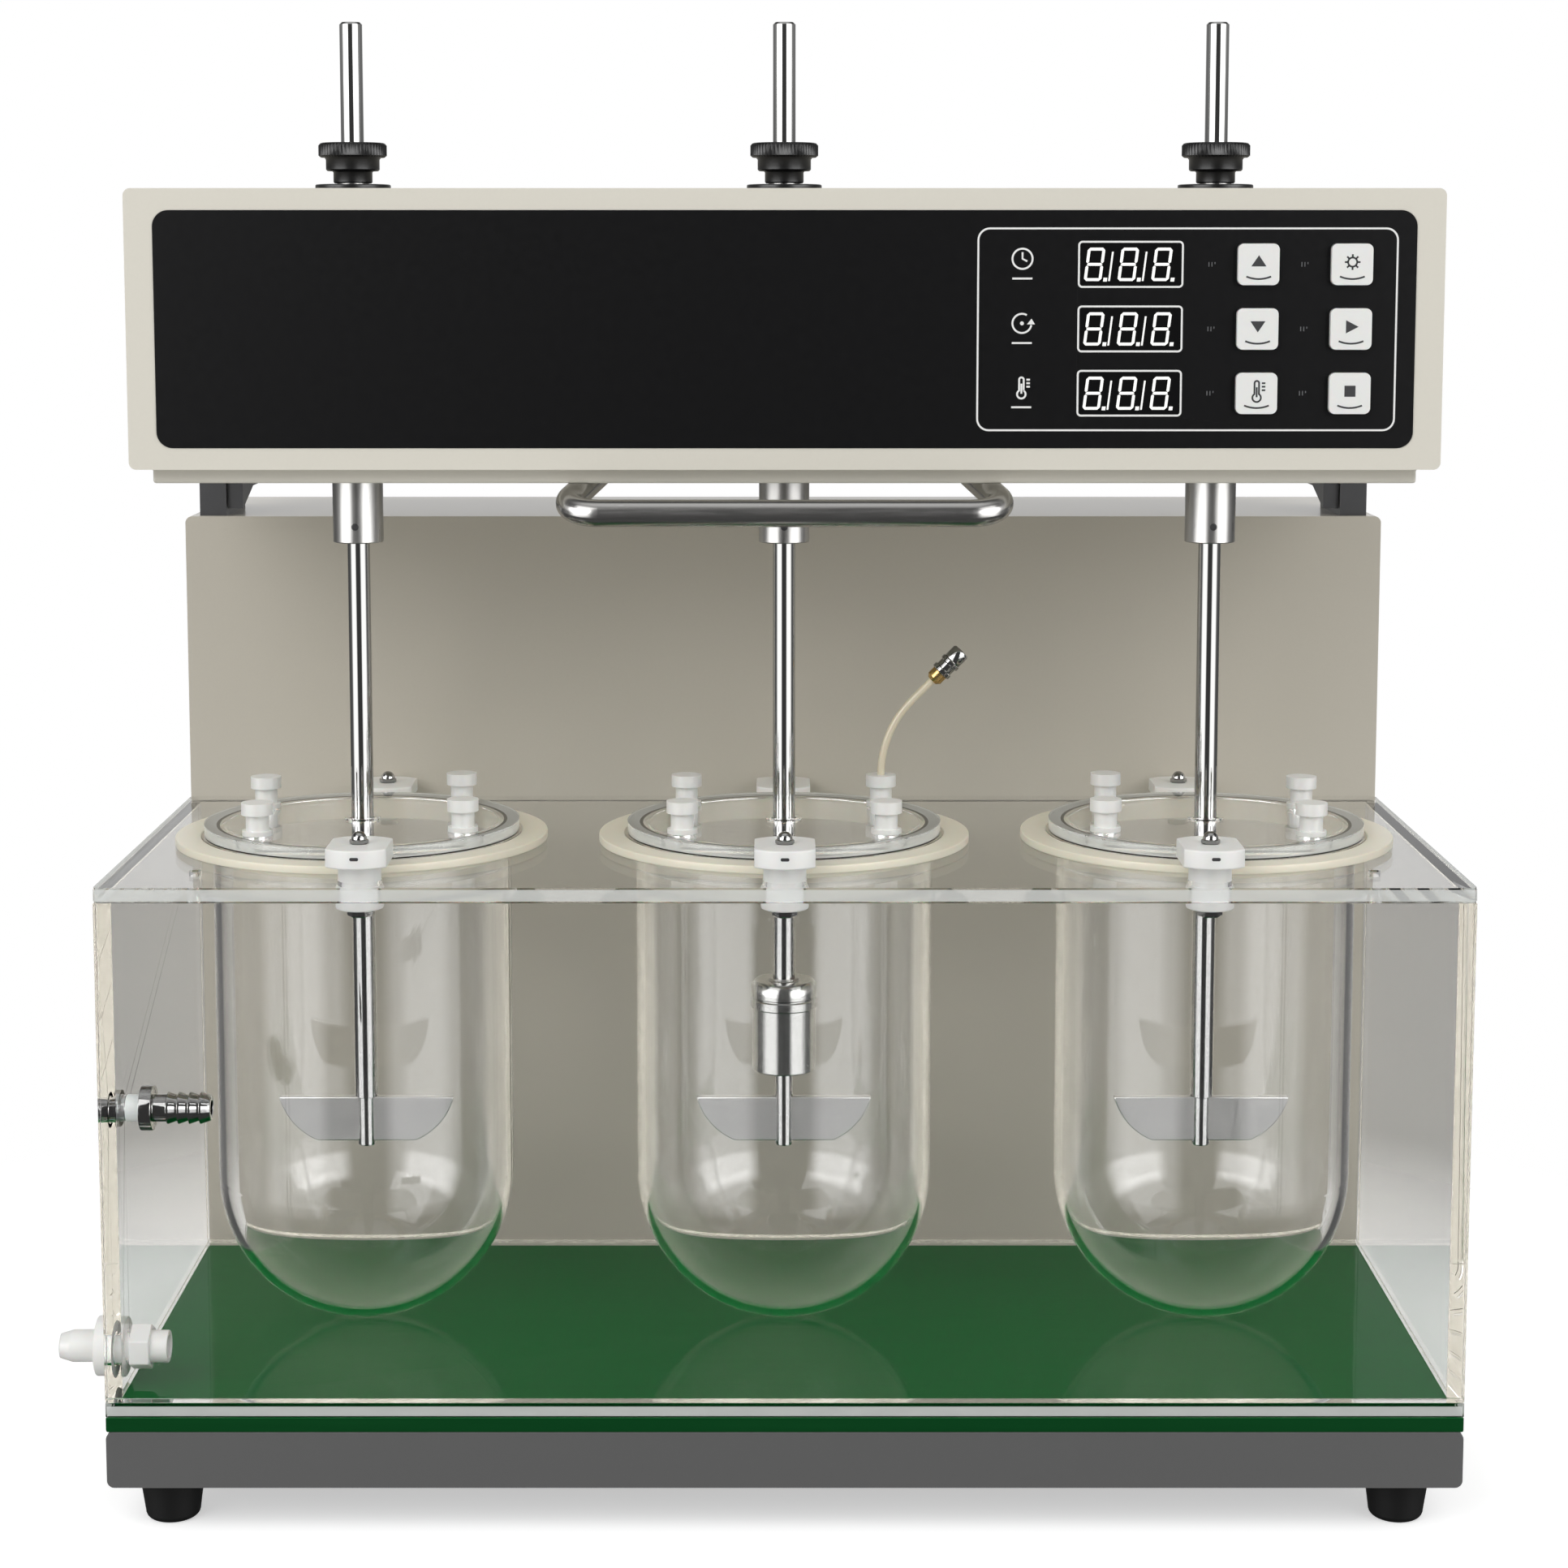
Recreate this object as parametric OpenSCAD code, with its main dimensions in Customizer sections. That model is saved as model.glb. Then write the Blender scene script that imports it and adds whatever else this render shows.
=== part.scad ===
// Three-vessel dissolution tester: a clear water bath with three glass vessels under a stirring head.
// Millimetres, +X right, +Y back, +Z up. The origin is the middle of the bounding box's bottom.

/* [Base] */
// Width of the base, tank and column
base_w = 540; // [530:1:600]
// Height of the rubber feet
foot_h = 20; // [10:1:24]
// Top radius of a rubber foot
foot_r = 13.5; // [9:0.5:16]
// Distance of a foot's middle from the nearest edges
foot_inset = 22; // [20:1:45]
// Height of the sheet-metal chassis
chassis_h = 23; // [18:1:40]
// Thickness of the sheet metal
sheet = 2; // [1.5:0.5:3]
// Thickness of the green base plate
base_plate_t = 6; // [4:1:10]

/* [Tank] */
// Depth of the tank
tank_d = 208; // [208:1:250]
// Height of the tank with its top plate
tank_h = 214; // [190:1:240]
// Thickness of the clear panels
panel_t = 6; // [4:1:8]
// Height of the circulation nozzle above the tank floor
nozzle_h = 113; // [60:1:150]
// Height of the drain above the tank floor
drain_h = 14; // [13:1:40]
// Distance of nozzle and drain from the tank's front
port_inset = 27; // [22:1:60]
// Reach of the drain fitting past the tank's side
drain_reach = 23; // [16:1:40]
// Radius of the drain's hose stub
drain_r = 6.5; // [5:0.5:8]

/* [Vessels] */
// Distance between neighbouring stirrers
pitch = 178; // [175:1:180]
// Outer radius of a glass vessel
vessel_r = 62.5; // [58:0.5:62.5]
// Thickness of the glass
vessel_wall = 3; // [2:0.5:4]
// Gap between a vessel's bottom and the tank floor
vessel_gap = 3; // [2:1:10]
// Width of the vessel's glass rim
rim_w = 4.5; // [3.5:0.5:5]
// Width of the support ring outside the rim
ring_w = 11; // [8:0.5:11]
// Thickness of the support ring above the top plate
ring_t = 3.5; // [3:0.5:6]
// Thickness of a lid
lid_t = 5; // [4:0.5:8]
// Radius of a stopper's stem
stopper_r = 4.75; // [3.5:0.25:5]
// Sideways place of a stopper on its lid
stopper_x = 42; // [30:0.5:42]
// Front-to-back place of a stopper on its lid
stopper_y = 32.5; // [28:0.5:32.5]
// Turn of the outer lids' stoppers towards the front
lid_turn = 6; // [0:1:10]
// Reach of a vessel clamp from its stud
clamp_reach = 16.5; // [14:0.5:16.5]
// Width of a vessel clamp
clamp_w = 24; // [22:0.2:28]
// Thickness of a front clamp
clamp_t = 7.6; // [6:0.2:12]
// Thickness of a rear clamp
rear_clamp_t = 5.6; // [4:0.2:10]
// Height of a front clamp above its ring
clamp_up = 3; // [0:0.5:4]
// Distance of the outer front clamps from their vessel's middle, towards the centre
clamp_in = 10; // [0:1:12]

/* [Stirrers] */
// Radius of a stirrer shaft
shaft_r = 4.7; // [4.7:0.05:5.05]
// Radius of a shaft's lower end
tip_r = 3.75; // [3:0.05:4.5]
// Height of a shaft above the head
shaft_above = 68.5; // [55:0.5:90]
// Height of the blade above the vessel's inner bottom
blade_above = 72; // [65:1:85]
// Width of the blade at its top
blade_top = 74.5; // [74:0.1:75]
// Width of the blade at its bottom
blade_bottom = 42; // [40:0.5:46]
// Height of the blade
blade_h = 19; // [18.5:0.1:19.5]
// Thickness of the blade
blade_t = 4; // [3:0.5:5]
// Radius of the basket on the centre shaft
basket_r = 13.5; // [11:0.5:16]
// Height of the basket's drum
basket_h = 27; // [22:1:32]

/* [Column] */
// Depth of the column
column_d = 115; // [100:1:160]
// Height of the column above the chassis
column_h = 348; // [345:1:380]
// Height of the hinges between column and head
hinge_h = 25.5; // [22:0.5:35]
// Width of a hinge block
hinge_w = 12; // [10:1:20]

/* [Head] */
// Width of the head
head_w = 526; // [520:1:540]
// Height of the head's casing
head_h = 112; // [112:1:140]
// Distance of the head's front from the stirrers
head_front = 50; // [45:1:60]
// Thickness of the tray under the casing
tray_t = 6; // [4:1:8]
// Width of the fascia
fascia_w = 503; // [500:1:510]
// Height of the fascia
fascia_h = 94.5; // [92:0.5:100]
// Size of a square button
button_w = 16.4; // [14:0.2:18]
// Travel of a button
button_travel = 1.5; // [0.8:0.1:2]
// Width of a display window
display_w = 42; // [36:1:46]
// Height of a display window
display_h = 18.6; // [16:0.2:22]
// Distance between rows of displays and buttons
row_pitch = 25.6; // [23:0.2:27]
// Radius of the handle's tube
handle_r = 5.5; // [4.5:0.25:7]
// Half length of the handle's grip, to its corners' middle
handle_half = 91; // [75:1:110]

/* [Hidden] */
$fn = 96;

// Clearances
fit = 0.05;
loose = 0.2;
gap = 0.3;
slack = 0.5;
over = 1;
glue = 0.1;
// A tube's bend is a hair thicker than the tube, and laps over its straight ends
bend_extra = 0.02;
bend_lap = 0.4;

// Levels, from the table up
z_plate = foot_h + chassis_h;
z_floor = z_plate + base_plate_t;
z_water = z_floor + panel_t;
z_top = z_floor + tank_h;
z_under = z_top - panel_t;
z_rim = z_top + ring_t;
z_lid = z_rim + lid_t;
z_column = z_plate + column_h;
z_tray = z_column + hinge_h;
z_case = z_tray + tray_t;
z_head = z_case + head_h;
z_shaft = z_head + shaft_above;

// Depths, with the stirrers in the plane y = 0
y_front = -tank_d / 2;
y_column = tank_d / 2;
y_back = y_column + column_d;
y_head = -head_front;
cover_t = 1.5;
inlet_flange = 2.5;
y_max = y_back + cover_t + inlet_flange;
x_mid = -drain_reach / 2;
y_mid = (y_front + y_max) / 2;
edge_r = 3;
case_r = 3;
foot_taper = 2.5;
foot_edge = 3;

// Vessel seat
rim_r = vessel_r + rim_w;
ring_r = rim_r + ring_w;
rim_t = 2.5;
spigot_wall = 3.3;
spigot_r = vessel_r + slack + spigot_wall;
spigot_h = 8;
lid_in = 1;
lid_r = rim_r - lid_in;
lid_foot = 1.2;
lid_foot_in = 9;
lid_foot_r = lid_r - lid_foot_in;
lid_bore = 6.2;
lid_collar = 1.3;
stem_r = 8.5;
stem_lip = 1;
stud_out = ring_r + stem_r + slack;
rod_r = 3;
vessel_bottom = z_water + vessel_gap;
inner_r = vessel_r - vessel_wall;
stopper_cap = 13.5;
cap_out = 1.75;
cap_r = stopper_r + cap_out;
tube_r = 1.6;
tube_bend = 46;
tube_lean = 45;
tube_straight = 12;
stem_foot = 8.5;
collar_h = 1;
clamp_nut_t = 5;
nut_r = 5;
cap_nut_r = 3.8;
dome_in = 0.7;

// Ports in the left wall
nozzle_r = 5;
port_wall = 2;
drain_tip = 5;

// Back of the column and head
cover_in = 6;
lip_w = 16;
screw_r = 1.5;
screw_head = 3;
screw_head_t = 1.6;
screw_inset = 11;
screw_len = 8;
inlet_x = 170;
inlet_z = 60;
inlet_w = 28;
inlet_h = 22;
inlet_lip = 2;
inlet_r = 1;
lip_r = 2;
switch_x = 215;
switch_l = 18;
switch_w = 11;
bezel_w = 16;
pivot_r = 1.5;
pivot_in = 3;

// Stirrer and spindle
blade_z = vessel_bottom + vessel_wall + blade_above;
blade_end_r = 28;
blade_end_steps = 12;
blade_chord = [(blade_top - blade_bottom) / 2, blade_h];
blade_in = sqrt(blade_end_r ^ 2 - (norm(blade_chord) / 2) ^ 2);
blade_inward = [-blade_chord.y, blade_chord.x] / norm(blade_chord);
blade_hub = [blade_bottom / 2, 0] + blade_chord / 2 + blade_in * blade_inward;
shaft_end = 2;
bore_r = shaft_r + fit;
spindle_wall = 3.25;
spindle_r = bore_r + spindle_wall;
sleeve_wall = 5.75;
sleeve_r = bore_r + sleeve_wall;
sleeve_down = 27.5;
neck_wall = 1.75;
neck_r = bore_r + neck_wall;
pulley_r = 18;
pulley_h = 12;
bearing_w = 5;
bearing_r = spindle_r + bearing_w;
bearing_h = 8;
flange_r = 15.5;
flange_t = 2.5;
hub_r = 13.5;
hub_h = 12;
z_hub = z_head - hub_h;
hub_wall = 3;
z_knob = z_head + flange_t + slack;
neck_h = 5;
step_h = 5.5;
disc_h = 6;
neck_up = 7;
basket_up = 12;
basket_z = blade_z + blade_h + basket_up;

// Drive
tray_flange = 2;
post_h = 10;
plate_t = 5;
pulley_up = 11;
motor_up = 8;
z_drive = z_case + tray_flange + post_h;
z_pulley = z_drive + plate_t + pulley_up;
motor_y = 70;
motor_w = 57;
motor_h = 50;
motor_pulley_r = pulley_r / 2;
motor_hole = 6;
motor_shaft = 4;
z_motor = z_pulley + pulley_h + motor_up;
bracket_t = 3;
post_gap = 2;
post_x = motor_w / 2 + post_gap;
belt_t = 1.5;

// Front panel
fascia_t = 3;
fascia_proud = 0.4;
fascia_r = 6.4;
window_proud = 0.1;
window_r = 2;
button_r = 2.4;
fascia_back = y_head - fascia_proud + fascia_t;
y_window = y_head - fascia_proud - window_proud;
fascia_z = (z_case + z_head) / 2;
row_up = 0.3;
row_z = fascia_z + row_up;
display_x = 137.7;
button_x = [188.3, 225.5];
button_proud = 2.5;
button_lip = 1;
button_lip_t = 1.2;
switch_y = fascia_back + button_lip_t + button_travel + gap;
switch_t = 3.4;
board_y = switch_y + switch_t;
board_x = 155;
board_w = 184;
board_in = 4;
board_h = fascia_h - 2 * board_in;

stirrer_x = [-pitch, 0, pitch];
lid_turns = [lid_turn, 0, -lid_turn];

// Helpers
module placed() {
    translate([-x_mid, -y_mid, 0]) children();
}

// A rectangle with round corners, centred
module rounded(w, h, r) {
    square([w - 2 * r, h], center = true);
    square([w, h - 2 * r], center = true);
    for (x = [-1, 1], y = [-1, 1]) translate([x * (w / 2 - r), y * (h / 2 - r)]) circle(r);
}

// An upright rounded plate, from y0 back by t, about the point x, z
module upright(x, z, w, h, r, y0, t) {
    translate([x, y0 + t, z]) rotate([90, 0, 0]) linear_extrude(t) rounded(w, h, r);
}

// A block given by its lowest and highest corners
module block(a, b) {
    translate(a) cube(b - a);
}

// A cylinder along +Z between two levels
module rod(r, z0, z1) {
    translate([0, 0, z0]) cylinder(r = r, h = z1 - z0);
}

// How high the first n steps of a stack reach
function rise(steps, n) = n == 0 ? 0 : rise(steps, n - 1) + steps[n - 1].y;

// Points on the arc of a blade's end, from its bottom corner to its top corner
function blade_end() = let (
    low = atan2(-blade_hub.y, blade_bottom / 2 - blade_hub.x),
    high = atan2(blade_h - blade_hub.y, blade_top / 2 - blade_hub.x)
) [for (i = [0:blade_end_steps]) let (a = low + (high - low) * i / blade_end_steps)
    blade_hub + blade_end_r * [cos(a), sin(a)]];

// Cylinders on top of each other: each step adds to the radius and has a height
module stack(r, steps) {
    for (i = [0:len(steps) - 1]) rod(r + steps[i].x, rise(steps, i), rise(steps, i + 1));
}

// A cylinder along +X between two places
module rod_x(r, x0, x1) {
    translate([x0, 0, 0]) rotate([0, 90, 0]) cylinder(r = r, h = x1 - x0);
}

// A sheet-metal box, open below, with a window in its back
module shell(w, z0, z1, y0, r, lip) {
    h = z1 - z0;
    difference() {
        upright(0, z0 + h / 2, w, h, r, y0, y_back - y0);
        block([-w / 2 + sheet, y0 + sheet, z0 - over], [w / 2 - sheet, y_back - sheet, z1 - sheet]);
        block([-w / 2 + lip, y_back - sheet - over, z0 + lip], [w / 2 - lip, y_back + over, z1 - lip]);
    }
}

// Base and tank
module base_chassis() {
    rib = 3;
    color("gray") placed() difference() {
        upright(0, foot_h + chassis_h / 2, base_w, chassis_h, edge_r, y_front, y_back - y_front);
        block([-base_w / 2 + sheet, y_front + sheet, foot_h + sheet],
            [base_w / 2 - sheet, y_column - rib, z_plate + over]);
        block([-base_w / 2 + sheet, y_column + rib, foot_h + sheet],
            [base_w / 2 - sheet, y_back - sheet, z_plate + over]);
    }
}

module rubber_feet() {
    low_r = foot_r - foot_taper;
    color("dimgray") placed() for (x = [-1, 1], y = [y_front + foot_inset, y_back - foot_inset])
        translate([x * (base_w / 2 - foot_inset), y, 0]) rotate_extrude() {
            polygon([[0, 0], [low_r - foot_edge, 0], [low_r, foot_edge], [foot_r, foot_h], [0, foot_h]]);
            translate([low_r - foot_edge, foot_edge]) circle(foot_edge);
        }
}

module base_plate() {
    color("seagreen") placed() block([-base_w / 2, y_front, z_plate], [base_w / 2, y_column, z_floor]);
}

module tank_panels() {
    side = base_w / 2;
    front = y_front + panel_t + glue;
    back = y_column - panel_t - glue;
    color("lightcyan") placed() {
        block([-side, y_front, z_floor], [side, y_column, z_water - glue]);
        for (y = [y_front, y_column - panel_t]) block([-side, y, z_water], [side, y + panel_t, z_under]);
        block([side - panel_t, front, z_water], [side, back, z_under]);
        difference() {
            block([-side, front, z_water], [panel_t - side, back, z_under]);
            at_port(nozzle_h) rod_x(nozzle_r + fit, -over, panel_t + over);
            at_port(drain_h) rod_x(drain_r + fit, -over, panel_t + over);
        }
    }
}

// A place on the left wall's outer face
module at_port(h) {
    translate([-base_w / 2, y_front + port_inset, z_water + h]) children();
}

module tank_top() {
    hole_r = 2.5;
    corner = 34;
    color("azure") placed() difference() {
        translate([0, 0, z_under]) linear_extrude(panel_t) rounded(base_w, tank_d, edge_r);
        for (x = stirrer_x) translate([x, 0, 0]) rod(spigot_r + loose, z_under - over, z_top + over);
        for (i = [0:2], side = [-1, 1]) at_stud(i, side) rod(stem_r + gap, z_under - over, z_top + over);
        for (x = [-1, 1]) translate([x * (base_w / 2 - corner), y_front + corner, 0])
            rod(hole_r, z_under - over, z_top + over);
    }
}

module circulation_nozzle() {
    nut_w = 4;
    nut_up = 2.5;
    pipe_w = 6;
    flange_w = 5;
    flange_up = 4;
    body_w = 5.5;
    body_up = 0.5;
    barb_w = 4.4;
    barb_up = 1.5;
    barbs = 4;
    x_flange = panel_t + pipe_w;
    x_body = x_flange + flange_w;
    x_barb = x_body + body_w;
    x_end = x_barb + barbs * barb_w;
    color("silver") placed() at_port(nozzle_h) difference() {
        union() {
            rod_x(nozzle_r, -nut_w, x_end);
            rod_x(nozzle_r + nut_up, -nut_w, 0);
            rod_x(nozzle_r + flange_up, x_flange, x_body);
            rod_x(nozzle_r + body_up, x_body, x_barb);
            for (i = [0:barbs - 1]) translate([x_barb + i * barb_w, 0, 0]) rotate([0, 90, 0])
                cylinder(r1 = nozzle_r + barb_up, r2 = nozzle_r, h = barb_w);
        }
        rod_x(nozzle_r - port_wall, -nut_w - over, x_end + over);
    }
}

module drain_fitting() {
    flange_w = 8;
    flange_up = 5.5;
    tail = 15;
    tip_in = 1.5;
    nut_w = 8;
    nut_up = 3;
    color("whitesmoke") placed() at_port(drain_h) {
        difference() {
            union() {
                rod_x(drain_r + flange_up, -flange_w, 0);
                rod_x(drain_r, drain_tip - drain_reach, panel_t + tail);
                translate([-drain_reach, 0, 0]) rotate([0, 90, 0])
                    cylinder(r1 = drain_r - tip_in, r2 = drain_r, h = drain_tip);
            }
            rod_x(drain_r - port_wall, -drain_reach - over, panel_t + tail + over);
        }
        difference() {
            translate([panel_t, 0, 0]) rotate([0, 90, 0]) cylinder(r = drain_r + nut_up, h = nut_w, $fn = 6);
            rod_x(drain_r + fit, panel_t - over, panel_t + nut_w + over);
        }
    }
}

// Column
module column_shell() {
    color("tan") placed() difference() {
        shell(base_w, z_plate, z_column, y_column, edge_r, lip_w);
        screw_holes();
    }
}

// Cover screws: place of each one on the back
module at_screws() {
    for (x = [-1, 1], z = [z_plate + screw_inset, z_column - screw_inset])
        translate([x * (base_w / 2 - screw_inset), y_back, z]) children();
    for (x = [-1, 1], z = [z_case + screw_inset, z_head - screw_inset])
        translate([x * (head_w / 2 - screw_inset), y_back, z]) children();
}

module screw_holes() {
    at_screws() rotate([90, 0, 0]) cylinder(r = screw_r + fit, h = 2 * screw_len + over, center = true);
}

module rear_covers() {
    z = z_plate + inlet_z;
    color("tan") placed() difference() {
        union() {
            rear_cover(z_plate, base_w, column_h);
            rear_cover(z_case, head_w, head_h);
        }
        screw_holes();
        upright(inlet_x, z, inlet_w, inlet_h, inlet_r, y_back - over, cover_t + 2 * over);
        upright(switch_x, z, bezel_w, inlet_h, inlet_r, y_back - over, cover_t + 2 * over);
    }
}

// A cover over the back of a shell that is w wide and h high
module rear_cover(z0, w, h) {
    upright(0, z0 + h / 2, w - 2 * cover_in, h - 2 * cover_in, edge_r, y_back, cover_t);
}

module cover_screws() {
    color("silver") placed() at_screws() translate([0, cover_t + screw_head_t, 0]) rotate([90, 0, 0]) {
        cylinder(r = screw_head, h = screw_head_t);
        cylinder(r = screw_r, h = screw_head_t + cover_t + screw_len);
    }
}

// Mains inlet, and the bezel that the rocker tips in
module power_inlet() {
    z = inlet_z + z_plate;
    y_face = y_back + cover_t;
    body = 20;
    socket = 14;
    socket_w = 23;
    socket_h = 16;
    pin_w = 2;
    pin_h = 4;
    pin_in = 2;
    pin_pitch = 7;
    pivot_room = 2;
    well_r = 0.5;
    bezel_t = 2;
    bezel_deep = 14;
    well = 12;
    color("dimgray") placed() {
        difference() {
            union() {
                upright(inlet_x, z, inlet_w + 2 * inlet_lip, inlet_h + 2 * inlet_lip, lip_r, y_face,
                    inlet_flange);
                upright(inlet_x, z, inlet_w - 2 * gap, inlet_h - 2 * gap, inlet_r, y_face - body, body);
            }
            upright(inlet_x, z, socket_w, socket_h, lip_r, y_face - socket, socket + inlet_flange + over);
        }
        for (i = [-1:1]) translate([inlet_x + i * pin_pitch, 0, z])
            block([-pin_w / 2, y_face - socket, -pin_h / 2], [pin_w / 2, y_face - pin_in, pin_h / 2]);
        difference() {
            union() {
                upright(switch_x, z, bezel_w + 2 * inlet_lip, inlet_h + 2 * inlet_lip, lip_r, y_face,
                    bezel_t);
                upright(switch_x, z, bezel_w - 2 * gap, inlet_h - 2 * gap, inlet_r, y_face - bezel_deep,
                    bezel_deep);
            }
            upright(switch_x, z, switch_w + 2 * gap, switch_l + 4 * gap, well_r, y_face - well,
                well + bezel_t + over);
            translate([switch_x, y_face - pivot_in, z])
                rod_x(pivot_r + fit, -switch_w / 2 - pivot_room, switch_w / 2 + pivot_room);
        }
    }
}

module power_switch() {
    half = switch_l / 2;
    deep = 4;
    proud = 4.2;
    dip = 3;
    tip = 8;
    stub = 1.5;
    color("black") placed() translate([switch_x, y_back + cover_t - pivot_in, inlet_z + z_plate]) {
        rod_x(pivot_r, -switch_w / 2 - stub, switch_w / 2 + stub);
        rotate([-tip, 0, 0]) rotate([90, 0, 90]) linear_extrude(switch_w, center = true) intersection() {
            circle(half);
            polygon([[-deep, -half], [-deep, half], [proud, half], [dip, 0], [proud, -half]]);
        }
    }
}

module circulation_unit() {
    z0 = foot_h + sheet;
    y = y_column + column_d / 2;
    pump_x = -160;
    pump_r = 34;
    pump_h = 70;
    heater_x = -60;
    heater_r = 28;
    heater_h = 180;
    pipe_r = 8;
    pipe_h = 40;
    color("silver") placed() union() {
        translate([pump_x, y, 0]) rod(pump_r, z0, z0 + pump_h);
        translate([heater_x, y, 0]) rod(heater_r, z0, z0 + heater_h);
        translate([0, y, z0 + pipe_h]) rod_x(pipe_r, pump_x, heater_x);
    }
}

// Hinges: blocks on the column, leaves under the head, and their pins
module hinges() {
    color("dimgray") placed() for (s = [0, 1]) mirror([s, 0, 0]) hinge();
}

// The right-hand hinge
module hinge() {
    depth = 50;
    back = 4;
    side_in = 6;
    y0 = y_column + back;
    y1 = y0 + depth;
    x1 = base_w / 2 - side_in;
    x0 = x1 - hinge_w;
    pad_t = 3;
    pad_y = 8;
    pad_out = 1.5;
    pin_r = 3;
    pin_in = 12;
    pin_down = 8;
    pin_y = y1 - pin_in;
    pin_z = z_tray - pin_down;
    leaf_t = 7;
    x_leaf = x0 - gap;
    leaf_down = 6;
    leaf_low = pin_z - leaf_down;
    foot_up = 3;
    front_in = 2;
    slope = 20;
    difference() {
        union() {
            block([x0, y0, z_column], [x1, y1, z_tray - pad_t]);
            translate([x1 - hinge_w / 2 + pad_out, y0 + pad_y, 0])
                rod(hinge_w / 2 + over, z_tray - pad_t, z_tray);
        }
        translate([0, pin_y, pin_z]) rod_x(pin_r + fit, x0 - over, x1 + over);
    }
    difference() {
        translate([x_leaf - leaf_t, 0, 0]) rotate([90, 0, 90]) linear_extrude(leaf_t) polygon([
            [y0 + front_in, z_column + foot_up], [y0 + front_in, z_tray], [y1, z_tray],
            [y1, leaf_low], [y1 - slope, leaf_low]
        ]);
        translate([0, pin_y, pin_z]) rod_x(pin_r + fit, x_leaf - leaf_t - over, x_leaf + over);
    }
    translate([0, pin_y, pin_z]) rod_x(pin_r, x_leaf - leaf_t, x1);
}

// Vessels, rings, lids, stoppers and clamps
module vessel(i) {
    mid = vessel_bottom + vessel_r;
    color("lightblue") placed() translate([stirrer_x[i], 0, 0]) difference() {
        union() {
            translate([0, 0, mid]) sphere(vessel_r);
            rod(vessel_r, mid, z_rim);
            rod(rim_r, z_rim - rim_t, z_rim);
        }
        translate([0, 0, mid]) sphere(inner_r);
        rod(inner_r, mid, z_rim + over);
    }
}

module vessel_rings() {
    color("cornsilk") placed() for (x = stirrer_x) translate([x, 0, 0]) difference() {
        union() {
            rod(ring_r, z_top, z_rim);
            rod(spigot_r, z_top - spigot_h, z_top);
        }
        rod(vessel_r + slack, z_top - spigot_h - over, z_rim + over);
        rod(rim_r + loose, z_rim - rim_t, z_rim + over);
    }
}

module lid(i) {
    color("aliceblue") placed() translate([stirrer_x[i], 0, 0]) difference() {
        union() {
            rod(lid_r, z_rim, z_lid);
            rod(lid_foot_r, z_rim - lid_foot, z_rim);
            rod(lid_bore + lid_collar, z_lid, z_lid + collar_h);
        }
        rod(lid_bore, z_rim - lid_foot - over, z_lid + collar_h + over);
        at_stoppers(i) rod(stopper_r + loose, z_rim - lid_foot - over, z_lid + over);
    }
}

module at_stoppers(i) {
    rotate([0, 0, lid_turns[i]]) for (x = [-stopper_x, stopper_x], y = [-stopper_y, stopper_y])
        translate([x, y, 0]) children();
}

module stopper() {
    cap_t = 5;
    collar_t = 2;
    collar_in = 0.25;
    bulge = 1;
    bulge_top = 1.5;
    z_cap = z_lid + stopper_cap;
    rod(cap_r, z_cap - cap_t, z_cap);
    rod(stopper_r, z_rim - stem_foot, z_cap - cap_t);
    rod(cap_r - collar_in, z_lid, z_lid + collar_t);
    rod(stopper_r + bulge, z_rim - stem_foot, z_rim - bulge_top);
}

// The centre lid's rear right stopper holds the sampling tube
module stoppers(i) {
    color("white") placed() translate([stirrer_x[i], 0, 0]) difference() {
        at_stoppers(i) stopper();
        if (i == 1) translate([stopper_x, stopper_y, 0])
            rod(tube_r + fit, z_rim - stem_foot - over, z_lid + stopper_cap + over);
    }
}

module sampling_tube() {
    z0 = z_lid + stopper_cap;
    dip = 20;
    hub = [[2, 5], [2.9, 2], [2.2, 3], [2.9, 2], [2.4, 6]];
    color("wheat") placed() translate([stopper_x, stopper_y, 0]) {
        rod(tube_r, z_rim - dip, z0 + bend_lap);
        translate([tube_bend, 0, z0]) rotate([90, 0, 0]) rotate([0, 0, 180 - tube_lean])
            rotate_extrude(angle = tube_lean) translate([tube_bend, 0]) circle(tube_r + bend_extra);
        translate([tube_bend * (1 - cos(tube_lean)), 0, z0 + tube_bend * sin(tube_lean)])
            rotate([0, tube_lean, 0]) {
                rod(tube_r, -bend_lap, tube_straight);
                translate([0, 0, tube_straight]) stack(tube_r, hub);
            }
    }
}

// Front and rear studs, on sides -1 and 1, all as far from their vessel's axis
module at_stud(i, side) {
    in = side < 0 ? -sign(stirrer_x[i]) * clamp_in : 0;
    translate([stirrer_x[i] + in, side * sqrt(stud_out ^ 2 - in ^ 2), 0]) children();
}

function clamp_z(side) = z_rim + gap + (side < 0 ? clamp_up : 0);
function clamp_top(side) = clamp_z(side) + (side < 0 ? clamp_t : rear_clamp_t);

module clamp(i, side) {
    z0 = z_under - gap - clamp_nut_t;
    z1 = clamp_z(side);
    z2 = clamp_top(side);
    color("white") placed() at_stud(i, side) difference() {
        union() {
            translate([0, 0, z1]) linear_extrude(z2 - z1) intersection() {
                circle(clamp_reach);
                square([clamp_w, 2 * clamp_reach], center = true);
            }
            rod(stem_r, z0, z1);
            rod(stem_r + stem_lip, z0, z_under - gap);
        }
        rod(rod_r + fit, z0 - over, z2 + over);
    }
}

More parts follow.
